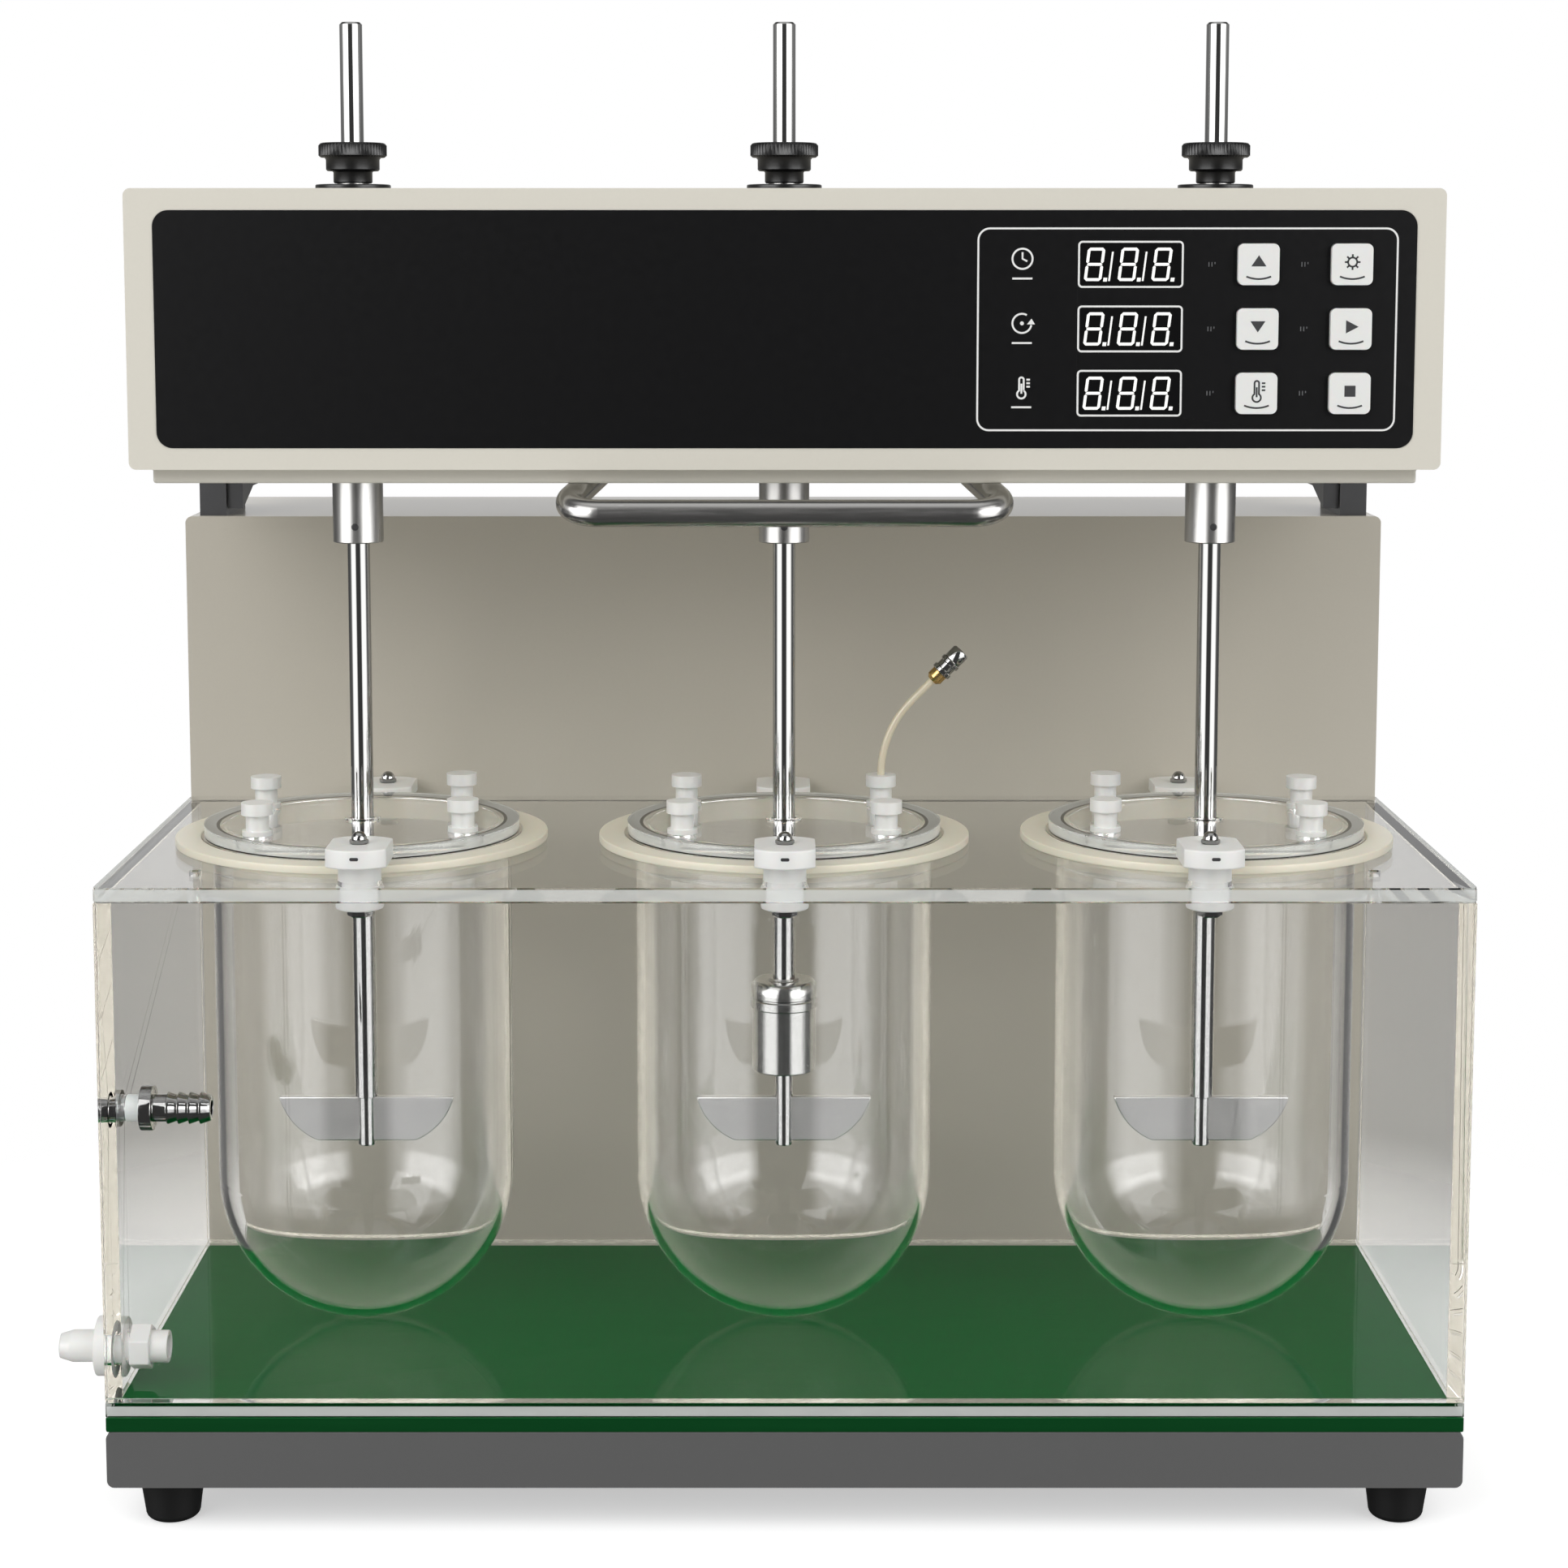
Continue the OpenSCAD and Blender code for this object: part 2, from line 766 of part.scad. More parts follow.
module clamp_nuts() {
    washer_t = 3;
    nut_h = 1.8;
    dome_r = cap_nut_r - dome_in;
    z0 = z_under - clamp_nut_t - 2 * gap;
    color("silver") placed() for (i = [0:2], side = [-1, 1]) at_stud(i, side) {
        z1 = clamp_top(side);
        rod(rod_r, z0 - washer_t + gap, z1 + over);
        rod(nut_r, z0 - washer_t, z0);
        rod(cap_nut_r, z1 + glue, z1 + nut_h);
        intersection() {
            translate([0, 0, z1 + nut_h]) sphere(dome_r);
            rod(cap_nut_r, z1 + over, z1 + nut_h + dome_r + over);
        }
    }
}

// Head
module head_casing() {
    color("linen") placed() difference() {
        shell(head_w, z_case, z_head, y_head, case_r, lip_w);
        upright(0, fascia_z, fascia_w + loose, fascia_h + loose, fascia_r + loose / 2, y_head - over,
            sheet + 2 * over);
        for (x = stirrer_x) translate([x, 0, 0]) rod(hub_r + fit, z_head - sheet - over, z_head + over);
        screw_holes();
    }
}

module head_tray() {
    inset = 8;
    sleeve_gap = 1;
    w = head_w / 2;
    color("tan") placed() difference() {
        union() {
            block([inset - w, y_head + inset, z_tray], [w - inset, y_back - inset, z_case]);
            block([case_r + gap - w, y_head + sheet + gap, z_case],
                [w - case_r - gap, y_back - sheet - gap, z_case + tray_flange]);
        }
        for (x = stirrer_x) translate([x, 0, 0]) rod(sleeve_r + sleeve_gap, z_tray - over,
            z_case + tray_flange + over);
    }
}

// Rows of the panel, from the top
function panel_z(row) = row_z + (1 - row) * row_pitch;

module fascia() {
    hole = button_w + 2 * gap;
    deep = fascia_t + 2 * over;
    color("black") placed() difference() {
        upright(0, fascia_z, fascia_w, fascia_h, fascia_r, y_head - fascia_proud, fascia_t);
        for (row = [0:2]) {
            upright(display_x, panel_z(row), display_w + loose, display_h + loose, window_r,
                y_head - over, deep);
            for (x = button_x) upright(x, panel_z(row), hole, hole, button_r + loose, y_head - over, deep);
        }
    }
}

module display_windows() {
    color("darkslategray") placed() for (row = [0:2])
        upright(display_x, panel_z(row), display_w, display_h, window_r, y_window, fascia_t);
}

module button(row, column) {
    x = button_x[column];
    z = panel_z(row);
    front = y_head - fascia_proud - button_proud;
    lip = button_w + 2 * gap + 2 * button_lip;
    color("white") placed() {
        upright(x, z, button_w, button_w, button_r, front, fascia_t + button_proud);
        upright(x, z, lip, lip, button_r, fascia_back, button_lip_t);
    }
}

module control_board() {
    board_t = 1.6;
    key_w = 6;
    post_r = 3;
    post_in = 5;
    digits_in = 2;
    y_digits = y_window + fascia_t;
    color("darkgreen") placed() {
        upright(board_x, fascia_z, board_w, board_h, 1, board_y, board_t);
        for (row = [0:2], x = button_x) upright(x, panel_z(row), key_w, key_w, 0.5, switch_y, switch_t);
        for (x = [-1, 1], z = [-1, 1])
            translate([board_x + x * (board_w / 2 - post_in), board_y,
                fascia_z + z * (board_h / 2 - post_in)]) rotate([90, 0, 0])
                    cylinder(r = post_r, h = board_y - fascia_back);
        for (row = [0:2]) upright(display_x, panel_z(row), display_w - 2 * digits_in, display_h - digits_in,
            0.5, y_digits, board_y - y_digits);
    }
}

// The handle lies in a plane that leans back, its legs leaning in
module handle() {
    bend = 12;
    draw_in = 12;
    rise = 36;
    tilt = 17;
    forward = 12;
    spare = 12;
    lean = atan(draw_in / rise);
    turn = 90 + lean;
    tangent = bend * tan(turn / 2);
    leg = rise / cos(lean) - tangent + spare;
    color("silver") placed() difference() {
        translate([0, y_head - forward, z_tray - rise * sin(tilt)]) rotate([tilt, 0, 0]) {
            rod_x(handle_r, tangent - handle_half - bend_lap, handle_half - tangent + bend_lap);
            for (s = [0, 1]) mirror([s, 0, 0]) translate([handle_half - tangent, bend, 0]) {
                rotate([0, 0, -90]) rotate_extrude(angle = turn) translate([bend, 0])
                    circle(handle_r + bend_extra);
                rotate([0, 0, lean]) translate([bend, -bend_lap, 0]) rotate([-90, 0, 0])
                    cylinder(r = handle_r, h = leg);
            }
        }
        block([-base_w, -base_w, z_tray], [base_w, base_w, z_head]);
    }
}

// Drive
module drive_plate() {
    side = 30;
    front = 28;
    behind = 40;
    post_r = 5;
    post_in = 8;
    pillar_r = 4;
    pillar_y = 25;
    bracket_y = 32;
    color("lightgray") placed() difference() {
        union() {
            block([-pitch - side, -front, z_drive], [pitch + side, motor_y + behind, z_drive + plate_t]);
            for (x = [-1, 1], y = [post_in - front, motor_y + behind - post_in])
                translate([x * (pitch + side - post_in), y, 0]) rod(post_r, z_drive - post_h, z_drive);
            for (x = [-post_x, post_x], y = [-pillar_y, pillar_y]) translate([x, motor_y + y, 0])
                rod(pillar_r, z_drive, z_motor);
            block([-post_x - pillar_r, motor_y - bracket_y, z_motor - bracket_t],
                [post_x + pillar_r, motor_y + bracket_y, z_motor]);
        }
        for (x = stirrer_x) translate([x, 0, 0])
            rod(bearing_r + fit, z_drive - over, z_drive + plate_t + over);
        translate([0, motor_y, 0]) rod(motor_hole, z_motor - bracket_t - over, z_motor + over);
    }
}

module drive_motor() {
    color("dimgray") placed() translate([0, motor_y, z_motor + motor_h / 2])
        cube([motor_w, motor_w, motor_h], center = true);
}

module motor_pulley() {
    color("silver") placed() translate([0, motor_y, 0]) {
        rod(motor_pulley_r, z_pulley, z_pulley + pulley_h);
        rod(motor_shaft, z_pulley, z_motor - gap);
    }
}

// The outline that a belt takes round the pulleys, at a distance from them
module belt_outline(d) {
    hull() {
        for (x = stirrer_x) translate([x, 0]) circle(pulley_r + d, $fn = 48);
        translate([0, motor_y]) circle(motor_pulley_r + d, $fn = 48);
    }
}

module drive_belt() {
    edge = 1;
    color("black") placed() translate([0, 0, z_pulley + edge]) linear_extrude(pulley_h - 2 * edge)
        difference() {
            belt_outline(gap + belt_t);
            belt_outline(gap);
        }
}

module spindle_bearings() {
    color("silver") placed() for (x = stirrer_x) translate([x, 0, 0]) {
        difference() {
            rod(bearing_r, z_drive + plate_t - bearing_h, z_drive + plate_t);
            rod(spindle_r + fit, z_drive - bearing_h, z_drive + plate_t + over);
        }
        difference() {
            rod(spindle_r + hub_wall, z_hub, z_hub + bearing_h);
            rod(spindle_r + fit, z_hub - over, z_hub + bearing_h + over);
        }
    }
}

module spindle_flanges() {
    color("black") placed() for (x = stirrer_x) translate([x, 0, 0]) difference() {
        union() {
            rod(flange_r, z_head, z_head + flange_t);
            rod(hub_r, z_hub, z_head);
        }
        rod(spindle_r + hub_wall + fit, z_hub - over, z_hub + bearing_h);
        rod(spindle_r + slack, z_hub, z_head + flange_t + over);
    }
}

module spindle(i) {
    color("silver") placed() translate([stirrer_x[i], 0, 0]) difference() {
        union() {
            rod(sleeve_r, z_tray - sleeve_down, z_drive - bearing_h + plate_t - slack);
            rod(spindle_r, z_tray, z_head);
            rod(pulley_r, z_pulley, z_pulley + pulley_h);
            rod(neck_r, z_head, z_knob + neck_up);
        }
        rod(bore_r, z_tray - sleeve_down - over, z_knob + neck_up + over);
    }
}

module chuck_knob(i) {
    steps = [[1.5, neck_h], [4.5, step_h], [7.5, disc_h]];
    color("black") placed() translate([stirrer_x[i], 0, z_knob]) difference() {
        stack(neck_r, steps);
        rod(neck_r + fit, -over, neck_up + gap);
        rod(bore_r, 0, neck_h + step_h + disc_h + over);
    }
}

// A shaft with its blade; the shaft is thinner below the blade's top or the basket
module stirrer(i) {
    z_tip = i == 1 ? basket_z : blade_z + blade_h - shaft_end;
    right = blade_end();
    color("silver") placed() translate([stirrer_x[i], 0, 0]) {
        rod(tip_r, blade_z - shaft_end, z_tip + over);
        rod(shaft_r, z_tip, z_shaft);
        translate([0, blade_t / 2, blade_z]) rotate([90, 0, 0]) linear_extrude(blade_t)
            polygon(concat(right, [for (j = [len(right) - 1:-1:0]) [-right[j].x, right[j].y]]));
    }
}

// The basket's drum, with two rings and a cap above it
module basket() {
    steps = [[0, basket_h], [0.7, 4.2], [-0.1, 0.4], [0.4, 6], [-1.2, 1.2], [-7, 1]];
    color("silver") placed() translate([0, 0, basket_z]) difference() {
        stack(basket_r, steps);
        rod(shaft_r + fit, -over, rise(steps, len(steps)) + over);
    }
}

base_chassis();
rubber_feet();
base_plate();
tank_panels();
tank_top();
column_shell();
rear_covers();
cover_screws();
circulation_unit();
circulation_nozzle();
drain_fitting();
hinges();
power_inlet();
power_switch();
vessel(0);  // vessel_left
vessel(1);  // vessel_center
vessel(2);  // vessel_right
vessel_rings();
clamp_nuts();
clamp(0, -1);  // clamp_front_left
clamp(1, -1);  // clamp_front_center
clamp(2, -1);  // clamp_front_right
clamp(0, 1);  // clamp_rear_left
clamp(1, 1);  // clamp_rear_center
clamp(2, 1);  // clamp_rear_right
lid(0);  // lid_left
lid(1);  // lid_center
lid(2);  // lid_right
stoppers(0);  // stoppers_left
stoppers(1);  // stoppers_center
stoppers(2);  // stoppers_right
sampling_tube();
head_casing();
head_tray();
fascia();
display_windows();
control_board();
button(0, 0);  // button_top_left
button(0, 1);  // button_top_right
button(1, 0);  // button_middle_left
button(1, 1);  // button_middle_right
button(2, 0);  // button_bottom_left
button(2, 1);  // button_bottom_right
handle();
spindle_bearings();
spindle_flanges();
drive_plate();
drive_motor();
drive_belt();
motor_pulley();
spindle(0);  // spindle_left
spindle(1);  // spindle_center
spindle(2);  // spindle_right
chuck_knob(0);  // chuck_knob_left
chuck_knob(1);  // chuck_knob_center
chuck_knob(2);  // chuck_knob_right
stirrer(0);  // stirrer_left
stirrer(1);  // stirrer_center
stirrer(2);  // stirrer_right
basket();
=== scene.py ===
"""Looks of a three-vessel dissolution tester: finishes, panel printing, knurled knobs and small trim."""
import math

import bmesh
import bpy
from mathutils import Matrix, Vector


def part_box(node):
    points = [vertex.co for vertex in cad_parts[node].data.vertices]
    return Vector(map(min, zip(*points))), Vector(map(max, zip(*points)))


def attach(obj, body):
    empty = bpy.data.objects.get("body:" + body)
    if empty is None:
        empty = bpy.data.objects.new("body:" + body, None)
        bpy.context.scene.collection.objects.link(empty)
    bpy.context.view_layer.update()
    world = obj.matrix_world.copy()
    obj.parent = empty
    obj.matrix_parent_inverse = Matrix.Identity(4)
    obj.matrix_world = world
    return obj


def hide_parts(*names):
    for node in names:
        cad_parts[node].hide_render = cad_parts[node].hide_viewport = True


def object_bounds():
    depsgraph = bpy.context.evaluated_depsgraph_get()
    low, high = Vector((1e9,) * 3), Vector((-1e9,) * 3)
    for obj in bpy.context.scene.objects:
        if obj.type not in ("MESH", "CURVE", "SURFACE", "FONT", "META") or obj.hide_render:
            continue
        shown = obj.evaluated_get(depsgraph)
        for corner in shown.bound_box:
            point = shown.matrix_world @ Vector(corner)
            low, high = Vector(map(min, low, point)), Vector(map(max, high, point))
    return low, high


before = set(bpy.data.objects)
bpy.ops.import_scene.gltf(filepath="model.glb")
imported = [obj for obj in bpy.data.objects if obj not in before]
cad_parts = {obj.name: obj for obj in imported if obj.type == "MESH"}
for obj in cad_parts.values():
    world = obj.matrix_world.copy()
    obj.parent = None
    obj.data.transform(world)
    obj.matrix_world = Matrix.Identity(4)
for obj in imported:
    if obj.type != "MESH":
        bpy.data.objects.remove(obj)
CAD_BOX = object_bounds()

bl_info = {
    "name": "Dissolution tester looks",
    "version": (1, 0, 0),
    "blender": (4, 5, 0),
    "location": "3D View > Sidebar > Tester",
    "description": "Finishes and fine pieces for a three-vessel dissolution tester",
    "category": "Object",
}

MM = 0.001
SIDES = ("left", "center", "right")
ROWS = ("top", "middle", "bottom")
BUTTON_COLUMNS = ("left", "right")

# Sizes that the solids share, in millimetres
SHAFT_R = 4.7
TIP_R = 3.75
SLEEVE_R = 10.5
BLADE_TOP = 74.5
BLADE_BOTTOM = 42
BLADE_H = 19
BLADE_T = 4
BLADE_FOOT = 2
BLADE_END_R = 28
LID_T = 5
LID_FOOT = 1.2


def srgb(red, green, blue):
    """A colour given as screen values from 0 to 255, as linear light."""
    levels = [v / 255 for v in (red, green, blue)]
    return tuple(v / 12.92 if v <= 0.04045 else ((v + 0.055) / 1.055) ** 2.4 for v in levels)


def middle(node):
    """The middle of a solid's box."""
    low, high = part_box(node)
    return (low + high) / 2


def foot_of(node):
    """The middle of the bottom of a solid's box."""
    return Vector((*middle(node).xy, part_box(node)[0].z))


def solids_of(node):
    """The boxes of a node's separate solids."""
    bm = bmesh.new()
    bm.from_mesh(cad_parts[node].data)
    bmesh.ops.remove_doubles(bm, verts=bm.verts, dist=0.002 * MM)
    left, boxes = set(bm.verts), []
    while left:
        reached, waiting = [], [left.pop()]
        while waiting:
            corner = waiting.pop()
            reached.append(corner.co)
            near = {edge.other_vert(corner) for edge in corner.link_edges} & left
            left -= near
            waiting += near
        boxes.append([Vector(pick(co[axis] for co in reached) for axis in range(3)) for pick in (min, max)])
    bm.free()
    return boxes


# Settings


def colour_setting(name, description, *screen):
    """A colour that a user would change."""
    return bpy.props.FloatVectorProperty(
        name=name, description=description, subtype="COLOR", size=3, min=0, max=1, default=srgb(*screen))


def number_setting(name, description, default, **traits):
    """A number that a user would change."""
    return bpy.props.FloatProperty(name=name, description=description, default=default, **traits)


def length_setting(name, description, millimetres):
    """A length that a user would change."""
    return number_setting(name, description, millimetres * MM, unit="LENGTH", min=0)


class TesterFinishes(bpy.types.PropertyGroup):
    """Colours of the tester's surfaces."""
    cream: colour_setting("Cream paint", "Casing of the stirring head", 220, 216, 204)
    # Painted shade: the column is the head's cream paint, and this colour is that cream darkened for the
    # shade under the head.
    shaded_cream: colour_setting("Shaded cream paint", "Column and rear covers", 204, 198, 185)
    grey: colour_setting("Grey paint", "Chassis under the tank", 87, 87, 87)
    green: colour_setting("Green plate", "Base plate under the tank", 22, 104, 50)
    black: colour_setting("Black panel", "Fascia", 9, 9, 10)
    moulded_black: colour_setting("Black moulding", "Chuck knobs and flanges", 12, 12, 13)
    rubber: colour_setting("Rubber", "Feet and belt", 12, 12, 12)
    white: colour_setting("White moulding", "Stoppers, clamps, buttons and drain", 238, 238, 235)
    ring: colour_setting("Cream moulding", "Support rings of the vessels", 236, 231, 212)
    print_white: colour_setting("Printing", "Lines and signs on the fascia", 236, 236, 234)
    steel: colour_setting("Satin steel", "Handle and sleeves", 172, 171, 169)
    hinge: colour_setting("Hinge paint", "Hinge blocks", 66, 66, 68)


class TesterPanel(bpy.types.PropertyGroup):
    """Sizes of what is printed on the fascia."""
    outline_w: length_setting("Outline width", "Width of the line round the controls", 166.8)
    outline_h: length_setting("Outline height", "Height of the line round the controls", 80.2)
    outline_r: length_setting("Outline corner", "Corner radius of the line round the controls", 4.6)
    outline_inset: length_setting("Outline inset", "From the fascia's right end to the line", 7.7)
    sign_in: length_setting("Sign place", "From the line's left side to the signs", 17.6)
    marks: bpy.props.FloatVectorProperty(
        name="Marks", description="Small marks, in millimetres from the line's left side", size=2,
        default=(93, 130))
    line: length_setting("Line", "Width of the panel's outline", 0.75)
    frame_line: length_setting("Frame line", "Width of a display's frame", 0.75)
    relief: length_setting("Relief", "Height of the printing above the fascia", 0.06)
    digit_h: length_setting("Digit height", "Height of a display's digit", 13.2)
    digit_w: length_setting("Digit width", "Width of a display's digit", 7.0)
    segment: length_setting("Segment", "Width of a digit's segment", 1.15)
    slant: number_setting("Slant", "Lean of the digits", math.radians(7), subtype="ANGLE")


class TesterStage(bpy.types.PropertyGroup):
    """Camera, lamps and floor."""
    distance: length_setting("Distance", "From the camera to the stirrers", 1291.9)
    height: length_setting("Height", "Of the camera above the table", 507.2)
    aside: length_setting("Aside", "Of the camera to the left of the centre stirrer", 5.2)
    pitch: number_setting("Pitch", "Downward tilt of the camera", math.radians(6.5), subtype="ANGLE")
    focus_px: number_setting("Focal length", "In pixels of the frame", 3820.6)
    axis_x: number_setting("Axis X", "Optical axis in the frame", 950.8)
    axis_y: number_setting("Axis Y", "Optical axis in the frame", 752.3)
    frame_px: number_setting("Frame", "Width of the square frame", 1932)
    fill: number_setting("Fill", "Strength of the even light", 0.54)
    key: number_setting("Key lamp", "Power of the key lamp", 30, unit="POWER")
    side: number_setting("Side lamp", "Power of the side lamp", 19, unit="POWER")


def settings(context, group):
    """One of the tester's groups of settings."""
    return getattr(context.scene, "tester_" + group)


# Shader nodes


def plug(tree, made, inputs):
    """Sets a node's inputs to values or to outputs of other nodes."""
    for label, value in dict(inputs).items():
        if isinstance(value, bpy.types.NodeSocket):
            tree.links.new(value, made.inputs[label])
        else:
            made.inputs[label].default_value = value


def add_node(tree, kind, inputs=(), **traits):
    """A new shader node with its traits and inputs."""
    made = tree.nodes.new("ShaderNode" + kind)
    for name, value in traits.items():
        setattr(made, name, value)
    plug(tree, made, inputs)
    return made


def reckon(tree, operation, *values):
    """The result of a Math node."""
    return add_node(tree, "Math", enumerate(values), operation=operation).outputs[0]


def map_range(tree, value, start, stop, **ends):
    """A value's place between a start and a stop, from 0 to 1 or between other ends."""
    ends = {label.replace("_", " "): end for label, end in ends.items()}
    made = add_node(tree, "MapRange", {"Value": value, "From Min": start, "From Max": stop, **ends})
    return made.outputs["Result"]


def facing(tree, direction):
    """How far the surface's true normal agrees with a direction."""
    normal = add_node(tree, "NewGeometry").outputs["Normal"]
    return add_node(tree, "VectorMath", {0: normal, 1: direction}, operation="DOT_PRODUCT").outputs["Value"]


def tinted(tree, colour, level):
    """A colour times a level."""
    return add_node(tree, "VectorMath", {0: colour, "Scale": level}, operation="SCALE").outputs[0]


def shader_group(name, inputs, outputs, fill):
    """A shader node group with named sockets, filled by a function when it is first asked for."""
    if name not in bpy.data.node_groups:
        group = bpy.data.node_groups.new(name, "ShaderNodeTree")
        for label, kind, value in inputs:
            socket = group.interface.new_socket(label, in_out="INPUT", socket_type="NodeSocket" + kind)
            socket.default_value = value
        for label, kind in outputs:
            group.interface.new_socket(label, in_out="OUTPUT", socket_type="NodeSocket" + kind)
        start, end = group.nodes.new("NodeGroupInput"), group.nodes.new("NodeGroupOutput")
        plug(group, end, fill(group, start.outputs))
    return bpy.data.node_groups[name]


def noise_on(group, start, detail):
    """Noise over the surface's own place, drawn out by the group's Stretch and sized by its Scale."""
    place = add_node(group, "TexCoord").outputs["Object"]
    drawn = add_node(group, "VectorMath", {0: place, 1: start["Stretch"]}, operation="MULTIPLY").outputs[0]
    noise = add_node(group, "TexNoise", {"Vector": drawn, "Scale": start["Scale"], "Detail": detail})
    return noise.outputs["Fac"]


def scaled_noise(group, noise, spread, base):
    """A value that noise moves by its spread to both sides of a base."""
    return reckon(group, "MULTIPLY_ADD", reckon(group, "SUBTRACT", noise, 0.5), spread, base)


def grain_group():
    """Grain: mottled colour, uneven gloss and a height for bumps."""
    def fill(group, start):
        noise = noise_on(group, start, 3)
        return {"Colour": tinted(group, start["Colour"], scaled_noise(group, noise, start["Mottle"], 1)),
                "Roughness": scaled_noise(group, noise, start["Gloss spread"], start["Roughness"]),
                "Height": noise}

    return shader_group(
        "Surface grain",
        [("Colour", "Color", (0.5, 0.5, 0.5, 1)), ("Mottle", "Float", 0.1), ("Roughness", "Float", 0.4),
         ("Gloss spread", "Float", 0.1), ("Scale", "Float", 400.0), ("Stretch", "Vector", (1, 1, 1))],
        [("Colour", "Color"), ("Roughness", "Float"), ("Height", "Float")], fill)


def wear_group():
    """Worn edges: where a rounded normal leaves the true one, broken up by noise, a worn colour shows."""
    def fill(group, start):
        rounded = add_node(group, "Bevel", {"Radius": start["Reach"]}).outputs["Normal"]
        edge = map_range(group, facing(group, rounded), 0.998, 0.9)
        broken = reckon(group, "MULTIPLY", edge, noise_on(group, start, 4))
        mask = reckon(group, "MULTIPLY", broken, start["Amount"])
        mixed = add_node(group, "Mix", data_type="RGBA")
        plug(group, mixed, {"Factor": mask, "A": start["Colour"], "B": start["Worn colour"]})
        return {"Colour": mixed.outputs["Result"], "Mask": mask}

    return shader_group(
        "Worn edges",
        [("Colour", "Color", (0.5, 0.5, 0.5, 1)), ("Worn colour", "Color", (0.8, 0.8, 0.8, 1)),
         ("Amount", "Float", 0.3), ("Reach", "Float", 0.8 * MM), ("Scale", "Float", 300.0),
         ("Stretch", "Vector", (1, 1, 1))],
        [("Colour", "Color"), ("Mask", "Float")], fill)


def facing_group():
    """Painted shade by facing: one level for faces that look along an axis, another for those across it."""
    def fill(group, start):
        turned = reckon(group, "ABSOLUTE", facing(group, start["Axis"]))
        level = map_range(group, turned, 0.3, 0.8, To_Min=start["Across"], To_Max=start["Along"])
        return {"Colour": tinted(group, start["Colour"], level)}

    return shader_group(
        "Facing shade",
        [("Colour", "Color", (0.5, 0.5, 0.5, 1)), ("Axis", "Vector", (0, 0, 1)), ("Along", "Float", 1.0),
         ("Across", "Float", 0.4)],
        [("Colour", "Color")], fill)


# Finishes


def finish(name, colour, roughness, mottle=0.06, gloss_spread=0.08, scale=500.0, stretch=(1, 1, 1),
           bump=0.0, bump_depth=0.05, wear=None, **sockets):
    """A material with grain in its colour, gloss and relief, and a worn colour on its edges if one is given.

    Other shader sockets are plain values.
    """
    made = bpy.data.materials.get(name)
    if made:
        return made
    made = bpy.data.materials.new(name)
    made.use_nodes = True
    tree = made.node_tree
    grain = add_node(tree, "Group", node_tree=grain_group())
    plug(tree, grain, {"Colour": (*colour, 1), "Mottle": mottle, "Roughness": roughness,
                       "Gloss spread": gloss_spread, "Scale": scale, "Stretch": stretch})
    tone = grain.outputs["Colour"] if mottle else (*colour, 1)
    if wear:
        worn = add_node(tree, "Group", node_tree=wear_group())
        plug(tree, worn, {"Colour": tone, "Worn colour": (*wear, 1)})
        tone = worn.outputs["Colour"]
    inputs = {label.replace("_", " "): value for label, value in sockets.items()}
    inputs.update({"Base Color": tone, "Roughness": grain.outputs["Roughness"]})
    if bump:
        relief = {"Strength": bump, "Distance": bump_depth * MM, "Height": grain.outputs["Height"]}
        inputs["Normal"] = add_node(tree, "Bump", relief).outputs["Normal"]
    plug(tree, tree.nodes["Principled BSDF"], inputs)
    return made


def clear_finish(name, level, ior, gloss, passed):
    """Clear glass or acrylic with faint smears, which lets a share of the lamps' light through each face."""
    made = finish(name, (level, level, level), 0.0, mottle=0.0, gloss_spread=0.008, scale=60.0,
                  IOR=ior, Transmission_Weight=1.0, Specular_Tint=(gloss, gloss, gloss, 1))
    tree = made.node_tree
    if "Lamp light" in tree.nodes:
        return made
    path = add_node(tree, "LightPath").outputs
    passing = reckon(tree, "MAXIMUM", path["Is Shadow Ray"], path["Is Diffuse Ray"])
    clear = add_node(tree, "BsdfTransparent", {"Color": (passed, passed, passed, 1)})
    both = add_node(tree, "MixShader", {"Fac": passing, 1: tree.nodes["Principled BSDF"].outputs[0],
                                    2: clear.outputs[0]}, name="Lamp light")
    plug(tree, tree.nodes["Material Output"], {"Surface": both.outputs[0]})
    return made


def shade_by_facing(made, axis, along, across):
    """Paints shade into a material: one level of colour on faces along an axis and another on faces across
    it.
    """
    tree = made.node_tree
    if "Facing" in tree.nodes:
        return made
    base = tree.nodes["Principled BSDF"].inputs["Base Color"]
    colour = base.links[0].from_socket if base.links else base.default_value
    shade = add_node(tree, "Group", node_tree=facing_group(), name="Facing")
    plug(tree, shade, {"Colour": colour, "Axis": axis, "Along": along, "Across": across})
    tree.links.new(shade.outputs["Colour"], base)
    return made


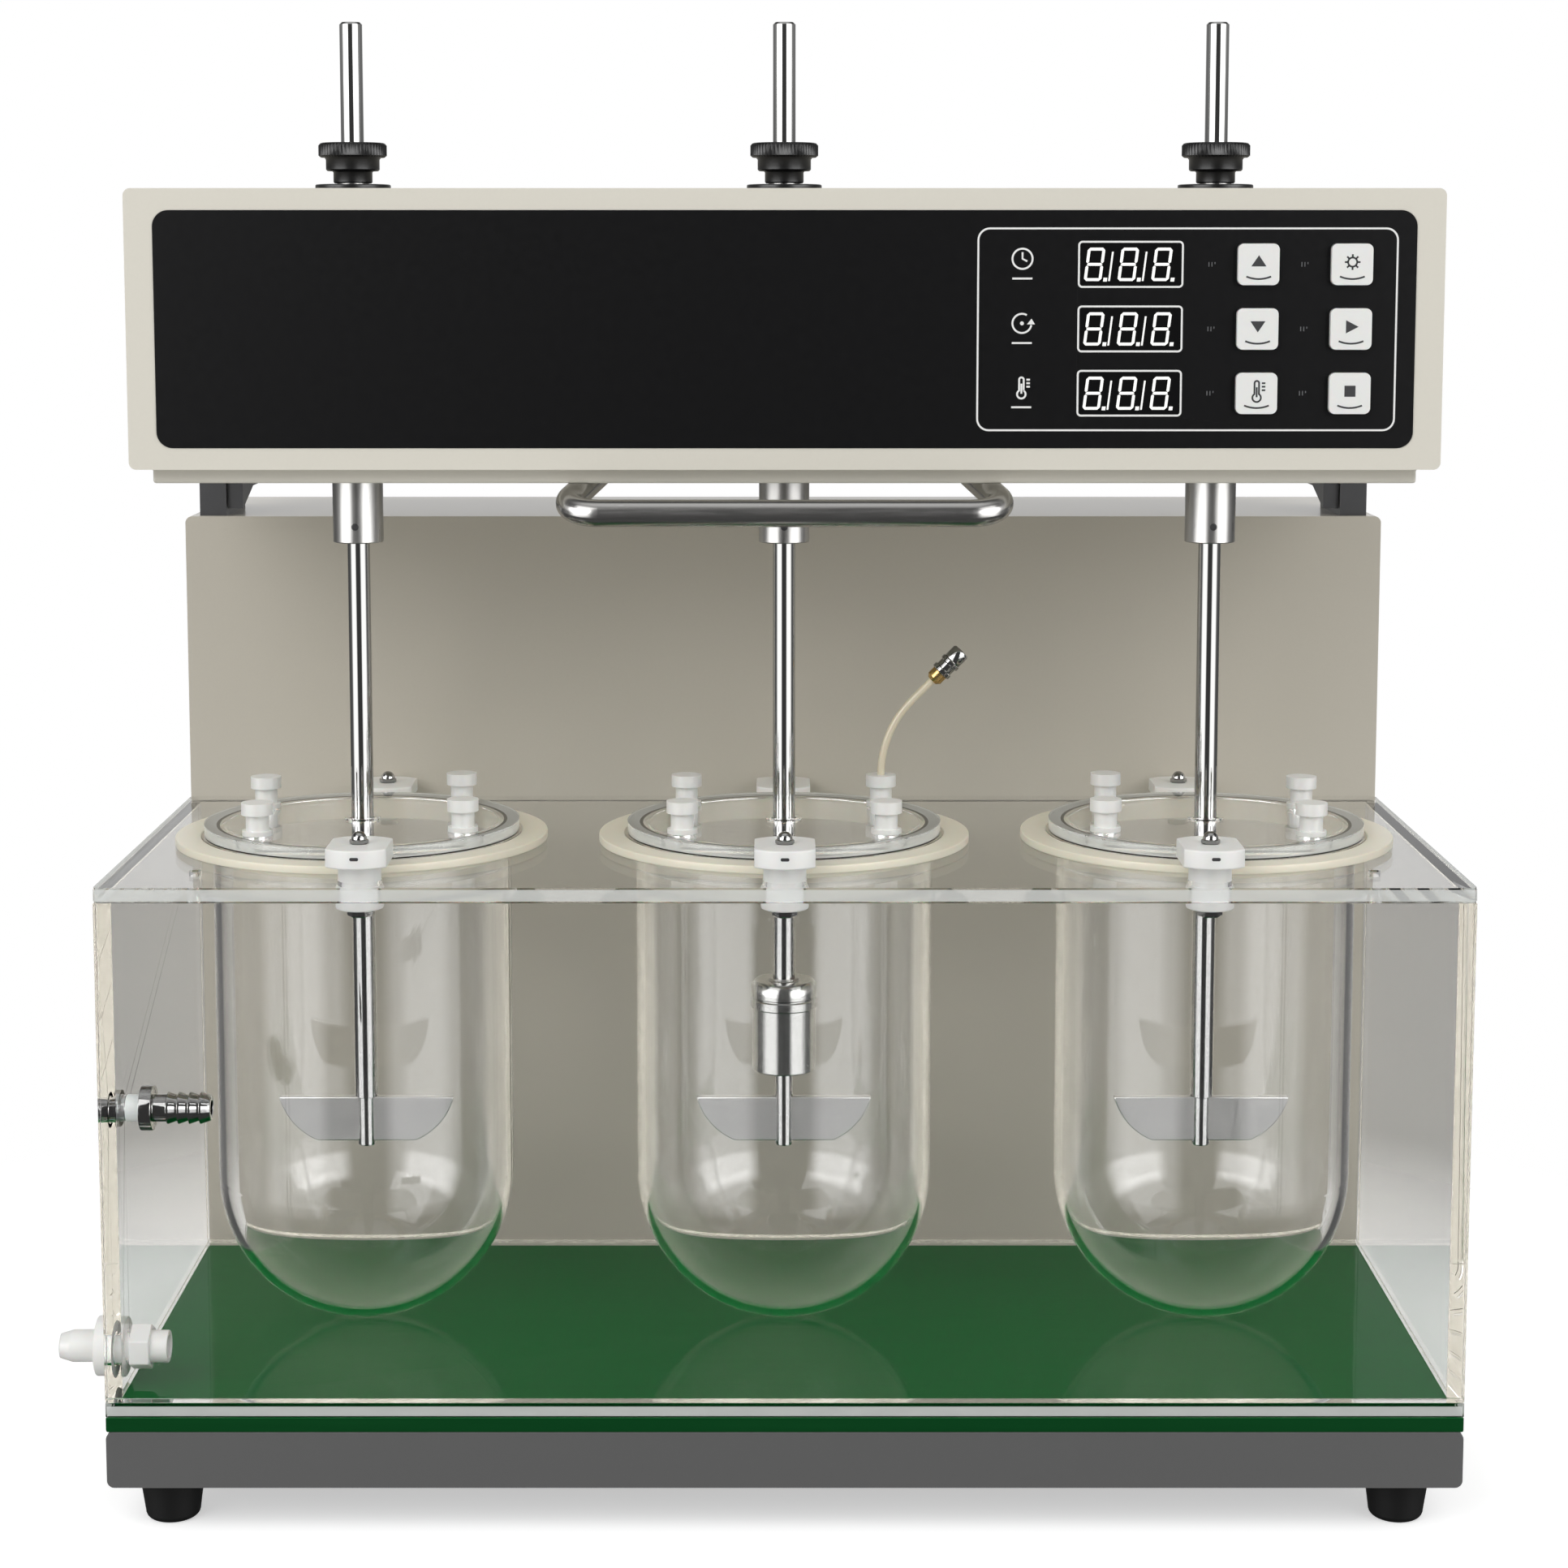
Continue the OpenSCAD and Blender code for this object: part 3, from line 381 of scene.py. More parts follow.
class Finishes:
    """The tester's materials, each made when it is first asked for."""

    def __init__(self, context):
        self.colours = settings(context, "finishes")

    def cream(self):
        return finish("cream_enamel", self.colours.cream, 0.42, mottle=0.03, scale=900, bump=0.12,
                      wear=srgb(244, 242, 236))

    # Painted shade: the head's cream, darkened for the shade that falls on the column under the head.
    def shaded_cream(self):
        return finish("shaded_cream_enamel", self.colours.shaded_cream, 0.34, mottle=0.04, scale=900, bump=0.08,
                      wear=srgb(232, 228, 218), Specular_IOR_Level=0.35, Coat_Weight=0.4, Coat_Roughness=0.12)

    def grey(self):
        return finish("grey_enamel", self.colours.grey, 0.45, mottle=0.05, scale=900, bump=0.12,
                      wear=srgb(150, 150, 150))

    def green(self):
        made = finish("green_gloss", self.colours.green, 0.3, mottle=0.2, gloss_spread=0.08, scale=420,
                      stretch=(0.03, 1, 1), Specular_IOR_Level=0.05)
        # Painted shade: the plate's side faces are darker than its top.
        return shade_by_facing(made, axis=(0, 0, 1), along=1.0, across=0.38)

    def fascia(self):
        return finish("fascia_black", self.colours.black, 0.36, mottle=0.15, gloss_spread=0.1, scale=300,
                      bump=0.05, Specular_IOR_Level=0.18)

    def moulded_black(self):
        return finish("moulded_black", self.colours.moulded_black, 0.33, mottle=0.2, scale=700, bump=0.1,
                      wear=srgb(56, 56, 58), Specular_IOR_Level=0.35)

    def rubber(self):
        return finish("rubber_black", self.colours.rubber, 0.6, mottle=0.25, scale=900, bump=0.3,
                      Specular_IOR_Level=0.2)

    def white(self):
        return finish("white_moulding", self.colours.white, 0.38, mottle=0.02, scale=600, bump=0.06,
                      Subsurface_Weight=0.15, Subsurface_Scale=2 * MM)

    def ring(self):
        return finish("ring_moulding", self.colours.ring, 0.34, mottle=0.03, scale=350,
                      Subsurface_Weight=0.25, Subsurface_Scale=3 * MM)

    def printing(self):
        return finish("panel_printing", self.colours.print_white, 0.5, mottle=0.04, scale=1500)

    def faint_printing(self):
        return finish("faint_printing", srgb(96, 97, 99), 0.5, mottle=0.2, scale=1500)

    def satin_steel(self):
        return finish("satin_steel", self.colours.steel, 0.3, mottle=0.1, gloss_spread=0.14, scale=900,
                      stretch=(1, 1, 0.05), Metallic=1.0)

    def drawn_steel(self):
        return finish("drawn_steel", self.colours.steel, 0.24, mottle=0.1, gloss_spread=0.14, scale=900,
                      stretch=(0.05, 1, 1), Metallic=1.0)

    def chrome(self):
        return finish("polished_steel", srgb(156, 156, 155), 0.06, mottle=0.04, gloss_spread=0.06, scale=700,
                      stretch=(1, 1, 0.06), Metallic=1.0)

    def basket(self):
        return finish("basket_steel", srgb(166, 166, 164), 0.17, mottle=0.08, gloss_spread=0.1, scale=900,
                      stretch=(1, 1, 0.05), Metallic=1.0)

    def blade(self):
        return finish("blade_steel", srgb(194, 193, 191), 0.4, mottle=0.06, gloss_spread=0.1, scale=600,
                      stretch=(0.08, 1, 1), Metallic=1.0)

    def aluminium(self):
        return finish("milled_aluminium", srgb(206, 207, 209), 0.35, mottle=0.08, scale=800,
                      stretch=(0.1, 1, 1), Metallic=1.0)

    def hinge(self):
        return finish("hinge_paint", self.colours.hinge, 0.4, mottle=0.15, scale=700, bump=0.1,
                      wear=srgb(130, 130, 132))

    def board(self):
        return finish("circuit_green", srgb(20, 84, 48), 0.4, mottle=0.3, scale=250)

    def display(self):
        return finish("display_window", srgb(6, 6, 7), 0.14, mottle=0.2, scale=200, Coat_Weight=0.3)

    def digits(self):
        return finish("lit_digits", srgb(236, 236, 233), 0.5, mottle=0.04, scale=900,
                      Emission_Color=(0.9, 0.9, 0.88, 1), Emission_Strength=0.35)

    def ink(self):
        return finish("dark_ink", srgb(38, 38, 40), 0.5, mottle=0.15, scale=1500)

    def brass(self):
        return finish("brass", srgb(196, 164, 104), 0.25, mottle=0.12, scale=700, Metallic=1.0)

    def tube(self):
        return finish("tube_moulding", srgb(226, 217, 192), 0.3, mottle=0.05, scale=500,
                      Subsurface_Weight=0.2, Subsurface_Scale=1.5 * MM)

    def glass(self):
        return clear_finish("vessel_glass", 0.98, 1.47, 0.8, 0.98)

    def acrylic(self):
        made = clear_finish("clear_acrylic", 0.93, 1.15, 0.2, 1.0)
        # Painted shade: the side panels, whose faces look along X, are a little darker.
        return shade_by_facing(made, axis=(1, 0, 0), along=0.97, across=1.0)

    def lid_acrylic(self):
        return clear_finish("lid_acrylic", 0.9, 1.49, 0.6, 0.95)

    def sawn_edge(self):
        return finish("sawn_edge", srgb(240, 242, 240), 0.5, mottle=0.12, scale=240, stretch=(0.3, 0.3, 1),
                      Alpha=0.4)

    def turned_edge(self):
        return finish("turned_edge", srgb(240, 242, 240), 0.3, mottle=0.2, scale=300, stretch=(0.2, 0.2, 1),
                      Alpha=0.36)


# Mesh code


UP = Vector((0, 0, 1))
FORWARD = Vector((0, -1, 0))


def bridge(bm, rings, closed=False):
    """Faces between each ring of corners and the next; a ring may be a single corner."""
    for low, high in zip(rings, rings[1:] + (rings[:1] if closed else [])):
        turns = max(len(low), len(high))
        for step in range(turns):
            after = (step + 1) % turns
            places = (low, step), (low, after), (high, after), (high, step)
            bm.faces.new(list(dict.fromkeys(ring[at % len(ring)] for ring, at in places)))


def lathe(bm, profile, origin, along=UP, turns=64, flutes=0):
    """Turns points of radius, height and flute depth, in millimetres, round an axis from an origin."""
    lean = UP.rotation_difference(along)
    rings = []
    for radius, height, *depth in profile:
        ring = []
        for step in range(turns if radius else 1):
            angle = 2 * math.pi * step / turns
            reach = radius - (depth[0] * (0.5 - 0.5 * math.cos(flutes * angle)) if depth else 0)
            point = Vector((reach * math.cos(angle), reach * math.sin(angle), height)) * MM
            ring.append(bm.verts.new(origin + lean @ point))
        rings.append(ring)
    bridge(bm, rings)


def arc(centre, radius, start, stop, steps=12):
    """Points of an arc, its angles in degrees."""
    angles = [math.radians(start + (stop - start) * i / steps) for i in range(steps + 1)]
    return [(centre[0] + radius * math.cos(a), centre[1] + radius * math.sin(a)) for a in angles]


def rounded_box(x, z, w, h, r):
    """The outline of a rectangle with round corners, about a middle."""
    points = []
    for sx, sz, start in ((1, 1, 0), (-1, 1, 90), (-1, -1, 180), (1, -1, 270)):
        points += arc((x + sx * (w / 2 - r), z + sz * (h / 2 - r)), r, start, start + 90, 8)
    return points


def ribbon(bm, points, width, y, relief, closed=False):
    """A raised line along points of an upright plane: its foot is at y, and it stands out to the front."""
    count = len(points)
    sections = []
    for i, point in enumerate(points):
        before = points[i - 1] if closed or i else point
        after = points[(i + 1) % count] if closed or i < count - 1 else point
        along = (Vector(after) - Vector(before)).normalized()
        side = Vector((-along.y, along.x)) * width / 2
        left, right = Vector(point) + side, Vector(point) - side
        sections.append([bm.verts.new((p.x, at, p.y)) for p, at in (
            (left, y), (left, y - relief), (right, y - relief), (right, y))])
    bridge(bm, sections, closed)
    if not closed:
        bm.faces.new(sections[0])
        bm.faces.new(sections[-1][::-1])


def tile(bm, points, y, relief):
    """A raised flat shape with the outline of the points."""
    front = [bm.verts.new((x, y - relief, z)) for x, z in points]
    back = [bm.verts.new((x, y, z)) for x, z in points]
    bm.faces.new(front)
    bm.faces.new(back[::-1])
    for i in range(len(points)):
        j = (i + 1) % len(points)
        bm.faces.new((front[j], front[i], back[i], back[j]))


def slab(bm, low, high):
    """A block between two corners."""
    corners = bmesh.ops.create_cube(bm, size=1)["verts"]
    for corner in corners:
        corner.co = [(a + b) / 2 + c * (b - a) for a, b, c in zip(low, high, corner.co)]


def tube(bm, points, radius, sides=20):
    """A round tube along points, with closed ends."""
    rings = []
    for i, point in enumerate(points):
        along = (points[min(i + 1, len(points) - 1)] - points[max(i - 1, 0)]).normalized()
        across = along.cross(Vector((0, 1, 0))).normalized()
        other = along.cross(across)
        rings.append([bm.verts.new(point + radius * (math.cos(a) * across + math.sin(a) * other))
                      for a in (2 * math.pi * s / sides for s in range(sides))])
    bridge(bm, rings)
    bm.faces.new(rings[0])
    bm.faces.new(rings[-1][::-1])


class Drawing:
    """Raised lines and flat shapes about a place on an upright face, in millimetres, that may lean."""

    def __init__(self, bm, x, z, y, width, relief, lean=0):
        self.bm, self.x, self.z, self.y, self.lean = bm, x, z, y, lean
        self.width, self.relief = width * MM, relief

    def placed(self, points):
        return [(self.x + (x + z * self.lean) * MM, self.z + z * MM) for x, z in points]

    def line(self, points, closed=False):
        ribbon(self.bm, self.placed(points), self.width, self.y, self.relief, closed)

    def shape(self, points):
        tile(self.bm, self.placed(points), self.y, self.relief)


def add_piece(name, bm, material, body, stands_for=(), smooth_below=40):
    """Makes a piece of the mesh, which moves with a body and takes the given material."""
    bmesh.ops.recalc_face_normals(bm, faces=bm.faces)
    for edge in bm.edges:
        edge.smooth = len(edge.link_faces) == 2 and edge.calc_face_angle(0) < math.radians(smooth_below)
    for face in bm.faces:
        face.smooth = True
    mesh = bpy.data.meshes.new(name)
    bm.to_mesh(mesh)
    bm.free()
    mesh.materials.append(material)
    made = bpy.data.objects.new(name, mesh)
    bpy.context.scene.collection.objects.link(made)
    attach(made, body)
    if stands_for:
        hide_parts(*stands_for)
    return made


def dress(material, *nodes, edge=0.0):
    """Gives solids a material and, where edge is set, rounds their edges by that many millimetres."""
    for name in nodes:
        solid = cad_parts[name]
        if solid.material_slots:
            for place in solid.material_slots:
                place.material = material
        else:
            solid.data.materials.append(material)
        if edge:
            weld = solid.modifiers.new("Join", "WELD")
            weld.merge_threshold = 0.002 * MM
            rounding = solid.modifiers.new("Round edges", "BEVEL")
            rounding.width = edge * MM
            rounding.segments = 2
            rounding.limit_method = "ANGLE"
            rounding.angle_limit = math.radians(40)
            shading = solid.modifiers.new("Shade", "WEIGHTED_NORMAL")
            shading.weight = 80


# Operators


class TesterOperator:
    """What the tester's operators share."""
    bl_options = {"REGISTER", "UNDO"}

    def execute(self, context):
        self.make(context, Finishes(context))
        return {"FINISHED"}


class TESTER_OT_shells(TesterOperator, bpy.types.Operator):
    """Finishes head, column, chassis, covers, feet and hinges"""
    bl_idname = "tester.shells"
    bl_label = "Painted shells"

    def make(self, context, looks):
        dress(looks.cream(), "head_casing", edge=1.2)
        dress(looks.cream(), "head_tray", edge=1.0)
        dress(looks.shaded_cream(), "column_shell", edge=0.8)
        dress(looks.shaded_cream(), "rear_covers")
        dress(looks.grey(), "base_chassis", edge=1.6)
        dress(looks.rubber(), "rubber_feet")
        dress(looks.hinge(), "hinges", edge=0.8)
        self.screws(looks.satin_steel())

    def screws(self, material):
        """Socket screws that hold the rear covers."""
        shank, head, socket, foot, top, depth = 1.5, 3.0, 1.6, 9.5, 11.1, 0.8
        bm = bmesh.new()
        for low, high in solids_of("cover_screws"):
            lathe(bm, [(0, 0), (shank, 0), (shank, foot), (head - 0.2, foot), (head, foot + 0.2),
                       (head, top - 0.5), (head - 0.5, top), (socket, top), (socket - 0.1, top - depth),
                       (0, top - depth)],
                  Vector(((low.x + high.x) / 2, low.y, (low.z + high.z) / 2)), -FORWARD, turns=36)
        add_piece("cover_screw_heads", bm, material, "frame", ["cover_screws"])


class TESTER_OT_tank(TesterOperator, bpy.types.Operator):
    """Finishes the clear tank, its green base plate and its ports"""
    bl_idname = "tester.tank"
    bl_label = "Tank"

    def make(self, context, looks):
        dress(looks.green(), "base_plate", edge=0.6)
        dress(looks.acrylic(), "tank_panels", edge=0.5)
        dress(looks.acrylic(), "tank_top", edge=0.6)
        dress(looks.chrome(), "circulation_nozzle", edge=0.3)
        dress(looks.white(), "drain_fitting", edge=0.6)
        self.edges(looks.sawn_edge())
        self.nozzle_sleeve(looks.white())

    def nozzle_sleeve(self, material):
        """A thin white sleeve on the nozzle's pipe, between the panel and the flange."""
        inner, outer, start, length = 5.02, 5.4, 10.1, 5.8
        origin = Vector((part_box("circulation_nozzle")[0].x + start * MM, *middle("circulation_nozzle").yz))
        bm = bmesh.new()
        lathe(bm, [(inner, 0), (outer - 0.2, 0), (outer, 0.2), (outer, length - 0.2), (outer - 0.2, length),
                   (inner, length), (inner, 0)], origin, Vector((1, 0, 0)), turns=48)
        add_piece("nozzle_sleeve", bm, material, "frame")

    def edges(self, material):
        """A thin frosted skin just under the sawn edges of the top plate and the floor."""
        low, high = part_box("tank_panels")
        plate_low, plate_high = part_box("tank_top")
        thick = plate_high.z - plate_low.z
        inset, skin, rim = 0.05 * MM, 0.1 * MM, 0.7 * MM
        bm = bmesh.new()
        for z0, z1 in ((plate_low.z, plate_high.z), (low.z, low.z + thick - rim)):
            slab(bm, (low.x + rim, low.y + inset, z0 + rim), (high.x - rim, low.y + inset + skin, z1 - rim))
            for x in (low.x + inset, high.x - inset - skin):
                slab(bm, (x, low.y + rim, z0 + rim), (x + skin, high.y - rim, z1 - rim))
        add_piece("panel_edges", bm, material, "frame")


class TESTER_OT_vessels(TesterOperator, bpy.types.Operator):
    """Finishes vessels, rings, lids and stoppers"""
    bl_idname = "tester.vessels"
    bl_label = "Vessels and lids"

    def make(self, context, looks):
        dress(looks.ring(), "vessel_rings", edge=0.6)
        for side in SIDES:
            dress(looks.glass(), "vessel_" + side)
            dress(looks.lid_acrylic(), "lid_" + side, edge=0.4)
            dress(looks.white(), "stoppers_" + side, edge=0.6)
            self.lid_edge("lid_" + side, looks.turned_edge())

    def lid_edge(self, lid, material):
        """A thin frosted skin just under the lid's turned edge and above its seat."""
        low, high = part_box(lid)
        edge, foot, top = (high.x - low.x) / 2 / MM - 0.1, LID_FOOT + 0.5, LID_FOOT + LID_T - 0.5
        skin, seal = 0.1, 5
        bm = bmesh.new()
        lathe(bm, [(edge - seal, foot), (edge, foot), (edge, top), (edge - skin, top),
                   (edge - skin, foot + skin), (edge - seal, foot + skin), (edge - seal, foot)],
              foot_of(lid), turns=120)
        add_piece("edge_of_" + lid, bm, material, lid)


class TESTER_OT_clamps(TesterOperator, bpy.types.Operator):
    """Finishes the vessel clamps and their cap nuts"""
    bl_idname = "tester.clamps"
    bl_label = "Vessel clamps"

    def make(self, context, looks):
        nuts = bmesh.new()
        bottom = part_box("clamp_nuts")[0].z
        for place, outward in (("front", -1), ("rear", 1)):
            for side in SIDES:
                clamp = f"clamp_{place}_{side}"
                dress(looks.white(), clamp, edge=0.9)
                # Painted shadow: a dark tile stands for the shaded recess of a slot.
                self.painted_slot_shadow(clamp, outward, looks.ink())
                self.cap_nut(nuts, clamp, bottom)
        add_piece("cap_nuts", nuts, looks.chrome(), "frame", ["clamp_nuts"])

    def painted_slot_shadow(self, clamp, outward, material):
        """A painted shadow for a short slot in the clamp's outer face: a dark tile where the slot's recess is
        shaded.
        """
        low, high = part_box(clamp)
        face = (low if outward < 0 else high).y
        sunk, proud, width, height, corner, down = (v * MM for v in (0.12, 0.05, 3.4, 1.3, 0.6, 3.3))
        bm = bmesh.new()
        tile(bm, rounded_box(middle(clamp).x, high.z - down, width, height, corner),
             face - outward * sunk, -outward * (sunk + proud))
        add_piece("slot_" + clamp, bm, material, clamp)

    def cap_nut(self, bm, clamp, bottom):
        """A domed nut on the clamp, its stud, and a hexagon nut under the plate."""
        foot = Vector((*middle(clamp).xy, bottom))
        top = (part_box(clamp)[1].z - bottom) / MM
        lower, across, stud, dome, rise = 5.0, 3.8, 3.0, 3.1, 1.8
        lathe(bm, [(0, 0), (lower - 0.5, 0), (lower, 0.4), (lower, 2.6), (lower - 0.5, 3), (0, 3)], foot,
              turns=6)
        lathe(bm, [(0, 1), (stud, 1), (stud, top + 1), (0, top + 1)], foot, turns=24)
        lathe(bm, [(0, top + 0.1), (across - 0.2, top + 0.1), (across, top + 0.3), (across, top + rise - 0.3),
                   (dome, top + rise), (0, top + rise)], foot, turns=6)
        round_top = [(dome * math.cos(a), top + rise + dome * math.sin(a)) for a in (
            math.radians(step * 9) for step in range(10))]
        lathe(bm, [(dome, top + rise - 0.2)] + round_top + [(0, top + rise + dome)], foot, turns=32)


class TESTER_OT_stirrers(TesterOperator, bpy.types.Operator):
    """Finishes spindles and makes shafts, blades, set screws and basket"""
    bl_idname = "tester.stirrers"
    bl_label = "Stirrers"

    def make(self, context, looks):
        for side in SIDES:
            dress(looks.satin_steel(), "spindle_" + side, edge=0.5)
            self.shaft(side, looks.chrome())
            self.blade(side, looks.blade())
            self.set_screw(side, looks.ink())
        self.basket(looks.basket())

    def shaft(self, side, material):
        """A polished rod with a thinner lower end and a chamfered top."""
        node = "stirrer_" + side
        low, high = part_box(node)
        radius, length, tip = SHAFT_R, (high.z - low.z) / MM, TIP_R
        step = BLADE_FOOT + BLADE_H
        if side == "center":
            step = (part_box("basket")[0].z - low.z) / MM
        bm = bmesh.new()
        lathe(bm, [(0, 0), (tip - 0.4, 0), (tip, 0.4), (tip, step), (radius - 0.3, step),
                   (radius, step + 0.3), (radius, length - 0.9), (radius - 0.9, length), (0, length)],
              foot_of(node), turns=48)
        add_piece("shaft_" + side, bm, material, node, [node])

    def blade(self, side, material):
        """A flat blade, whose ends are arcs between its long top and short bottom edge."""
        node = "stirrer_" + side
        centre, foot = middle(node), foot_of(node).z + BLADE_FOOT * MM
        bottom, top = Vector((BLADE_BOTTOM / 2, 0)), Vector((BLADE_TOP / 2, BLADE_H))
        half = (top - bottom) / 2
        inward = Vector((-half.y, half.x)).normalized()
        hub = bottom + half + inward * math.sqrt(BLADE_END_R ** 2 - half.length_squared)
        lower, upper = (math.degrees(math.atan2(*(p - hub).yx)) for p in (bottom, top))
        end = [(x * MM, z * MM) for x, z in arc(hub, BLADE_END_R, lower, upper, 12)]
        outline = [(centre.x + x, foot + z) for x, z in end]
        outline += [(centre.x - x, foot + z) for x, z in end[::-1]]
        bm = bmesh.new()
        tile(bm, outline, centre.y + BLADE_T / 2 * MM, BLADE_T * MM)
        made = add_piece("blade_" + side, bm, material, node, [node])
        rounding = made.modifiers.new("Round edges", "BEVEL")
        rounding.width = 0.5 * MM
        rounding.segments = 2

    def set_screw(self, side, material):
        """A small socket screw in the front of the spindle's sleeve."""
        sunk, proud, up = 0.6, 0.15, 7
        foot = foot_of("spindle_" + side)
        origin = Vector((foot.x, middle("stirrer_" + side).y - (SLEEVE_R - sunk) * MM, foot.z + up * MM))
        bm = bmesh.new()
        lathe(bm, [(0, 0), (1.5, 0), (1.5, sunk + proud - 0.1), (1.3, sunk + proud), (0.8, sunk + proud),
                   (0.7, sunk), (0, sunk)], origin, FORWARD, turns=24)
        add_piece("set_screw_" + side, bm, material, "spindle_" + side)

    def basket(self, material):
        """A drum with a wider ring and a chamfered cap above it, and a collar round the shaft."""
        drum, ring, cap, bore = 13.5, 14.2, 13.9, SHAFT_R + 0.05
        bm = bmesh.new()
        lathe(bm, [(bore, 0), (drum - 0.6, 0), (drum, 0.6), (drum, 27), (ring - 0.5, 27), (ring, 27.5),
                   (ring, 30.7), (ring - 0.5, 31.2), (drum - 0.1, 31.2), (drum - 0.1, 31.6),
                   (cap - 0.4, 31.6), (cap, 32.0), (cap, 36.8), (drum - 1.2, 38.8), (6.9, 38.8), (6.5, 39.2),
                   (6.5, 39.5), (6.2, 39.8), (bore, 39.8), (bore, 0)], foot_of("basket"), turns=72)
        add_piece("basket_drum", bm, material, "stirrer_center", ["basket"])


class TESTER_OT_knobs(TesterOperator, bpy.types.Operator):
    """Makes the knurled chuck knobs"""
    bl_idname = "tester.knobs"
    bl_label = "Chuck knobs"

    def make(self, context, looks):
        dress(looks.moulded_black(), "spindle_flanges", edge=0.5)
        knurl, flutes = 0.4, 56
        for side in SIDES:
            node = "chuck_knob_" + side
            bm = bmesh.new()
            lathe(bm, [(6.55, 0), (7.5, 0), (8, 0.5), (8, 4.4), (8.5, 5), (10.4, 5), (11, 5.6), (11, 9.6),
                       (11.6, 10.5), (13.0, 10.5), (14, 11.3, knurl), (14, 15.4, knurl), (13.2, 16.3),
                       (12.6, 16.5), (11.2, 16.5), (10.6, 16.0), (6.4, 16.0), (5.6, 15.6), (4.8, 15.0),
                       (4.8, 7.3), (6.55, 7.3), (6.55, 0)],
                  foot_of(node), turns=4 * flutes, flutes=flutes)
            add_piece("knob_" + side, bm, looks.moulded_black(), node, [node])


class TESTER_OT_sampling(TesterOperator, bpy.types.Operator):
    """Makes the bent sampling tube and its hub"""
    bl_idname = "tester.sampling"
    bl_label = "Sampling tube"

    def make(self, context, looks):
        node = "sampling_tube"
        low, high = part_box(node)
        thick, bend, lean, straight = 1.6 * MM, 46 * MM, math.radians(45), 12 * MM
        cap_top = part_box("stoppers_center")[1].z
        foot = Vector((low.x + thick, (low.y + high.y) / 2, low.z))
        start = Vector((foot.x, foot.y, cap_top))
        points = [foot, (foot + start) / 2]
        for step in range(13):
            turned = lean * step / 12
            points.append(start + Vector((bend * (1 - math.cos(turned)), 0, bend * math.sin(turned))))
        along = Vector((math.sin(lean), 0, math.cos(lean)))
        hub = points[-1] + straight * along
        points += [points[-1] + along * straight * share for share in (0.5, 1.1)]
        bm = bmesh.new()
        tube(bm, points, thick)
        add_piece("sampling_line", bm, looks.tube(), node, [node])
        base = [(0, 0), (2.4, 0), (3.6, 1.4), (3.6, 4.8), (3.2, 5.2), (0, 5.2)]
        rings = [(0, 5), (4.2, 5), (4.5, 5.3), (4.5, 6.7), (4.2, 7), (3.8, 7.2), (3.8, 9.8), (4.2, 10),
                 (4.5, 10.3), (4.5, 11.7), (4.2, 12), (0, 12)]
        cap = [(0, 12), (3.8, 12), (4.0, 12.3), (4.0, 17.2), (3.4, 18), (2.2, 18), (2.2, 16.5), (0, 16.5)]
        for name, profile, material, slot in (("base", base, looks.brass(), "steel"),
                                              ("rings", rings, looks.chrome(), "chrome"),
                                              ("cap", cap, looks.chrome(), "chrome")):
            bm = bmesh.new()
            lathe(bm, profile, hub, along, turns=40)
            add_piece("sampling_hub_" + name, bm, material, node)


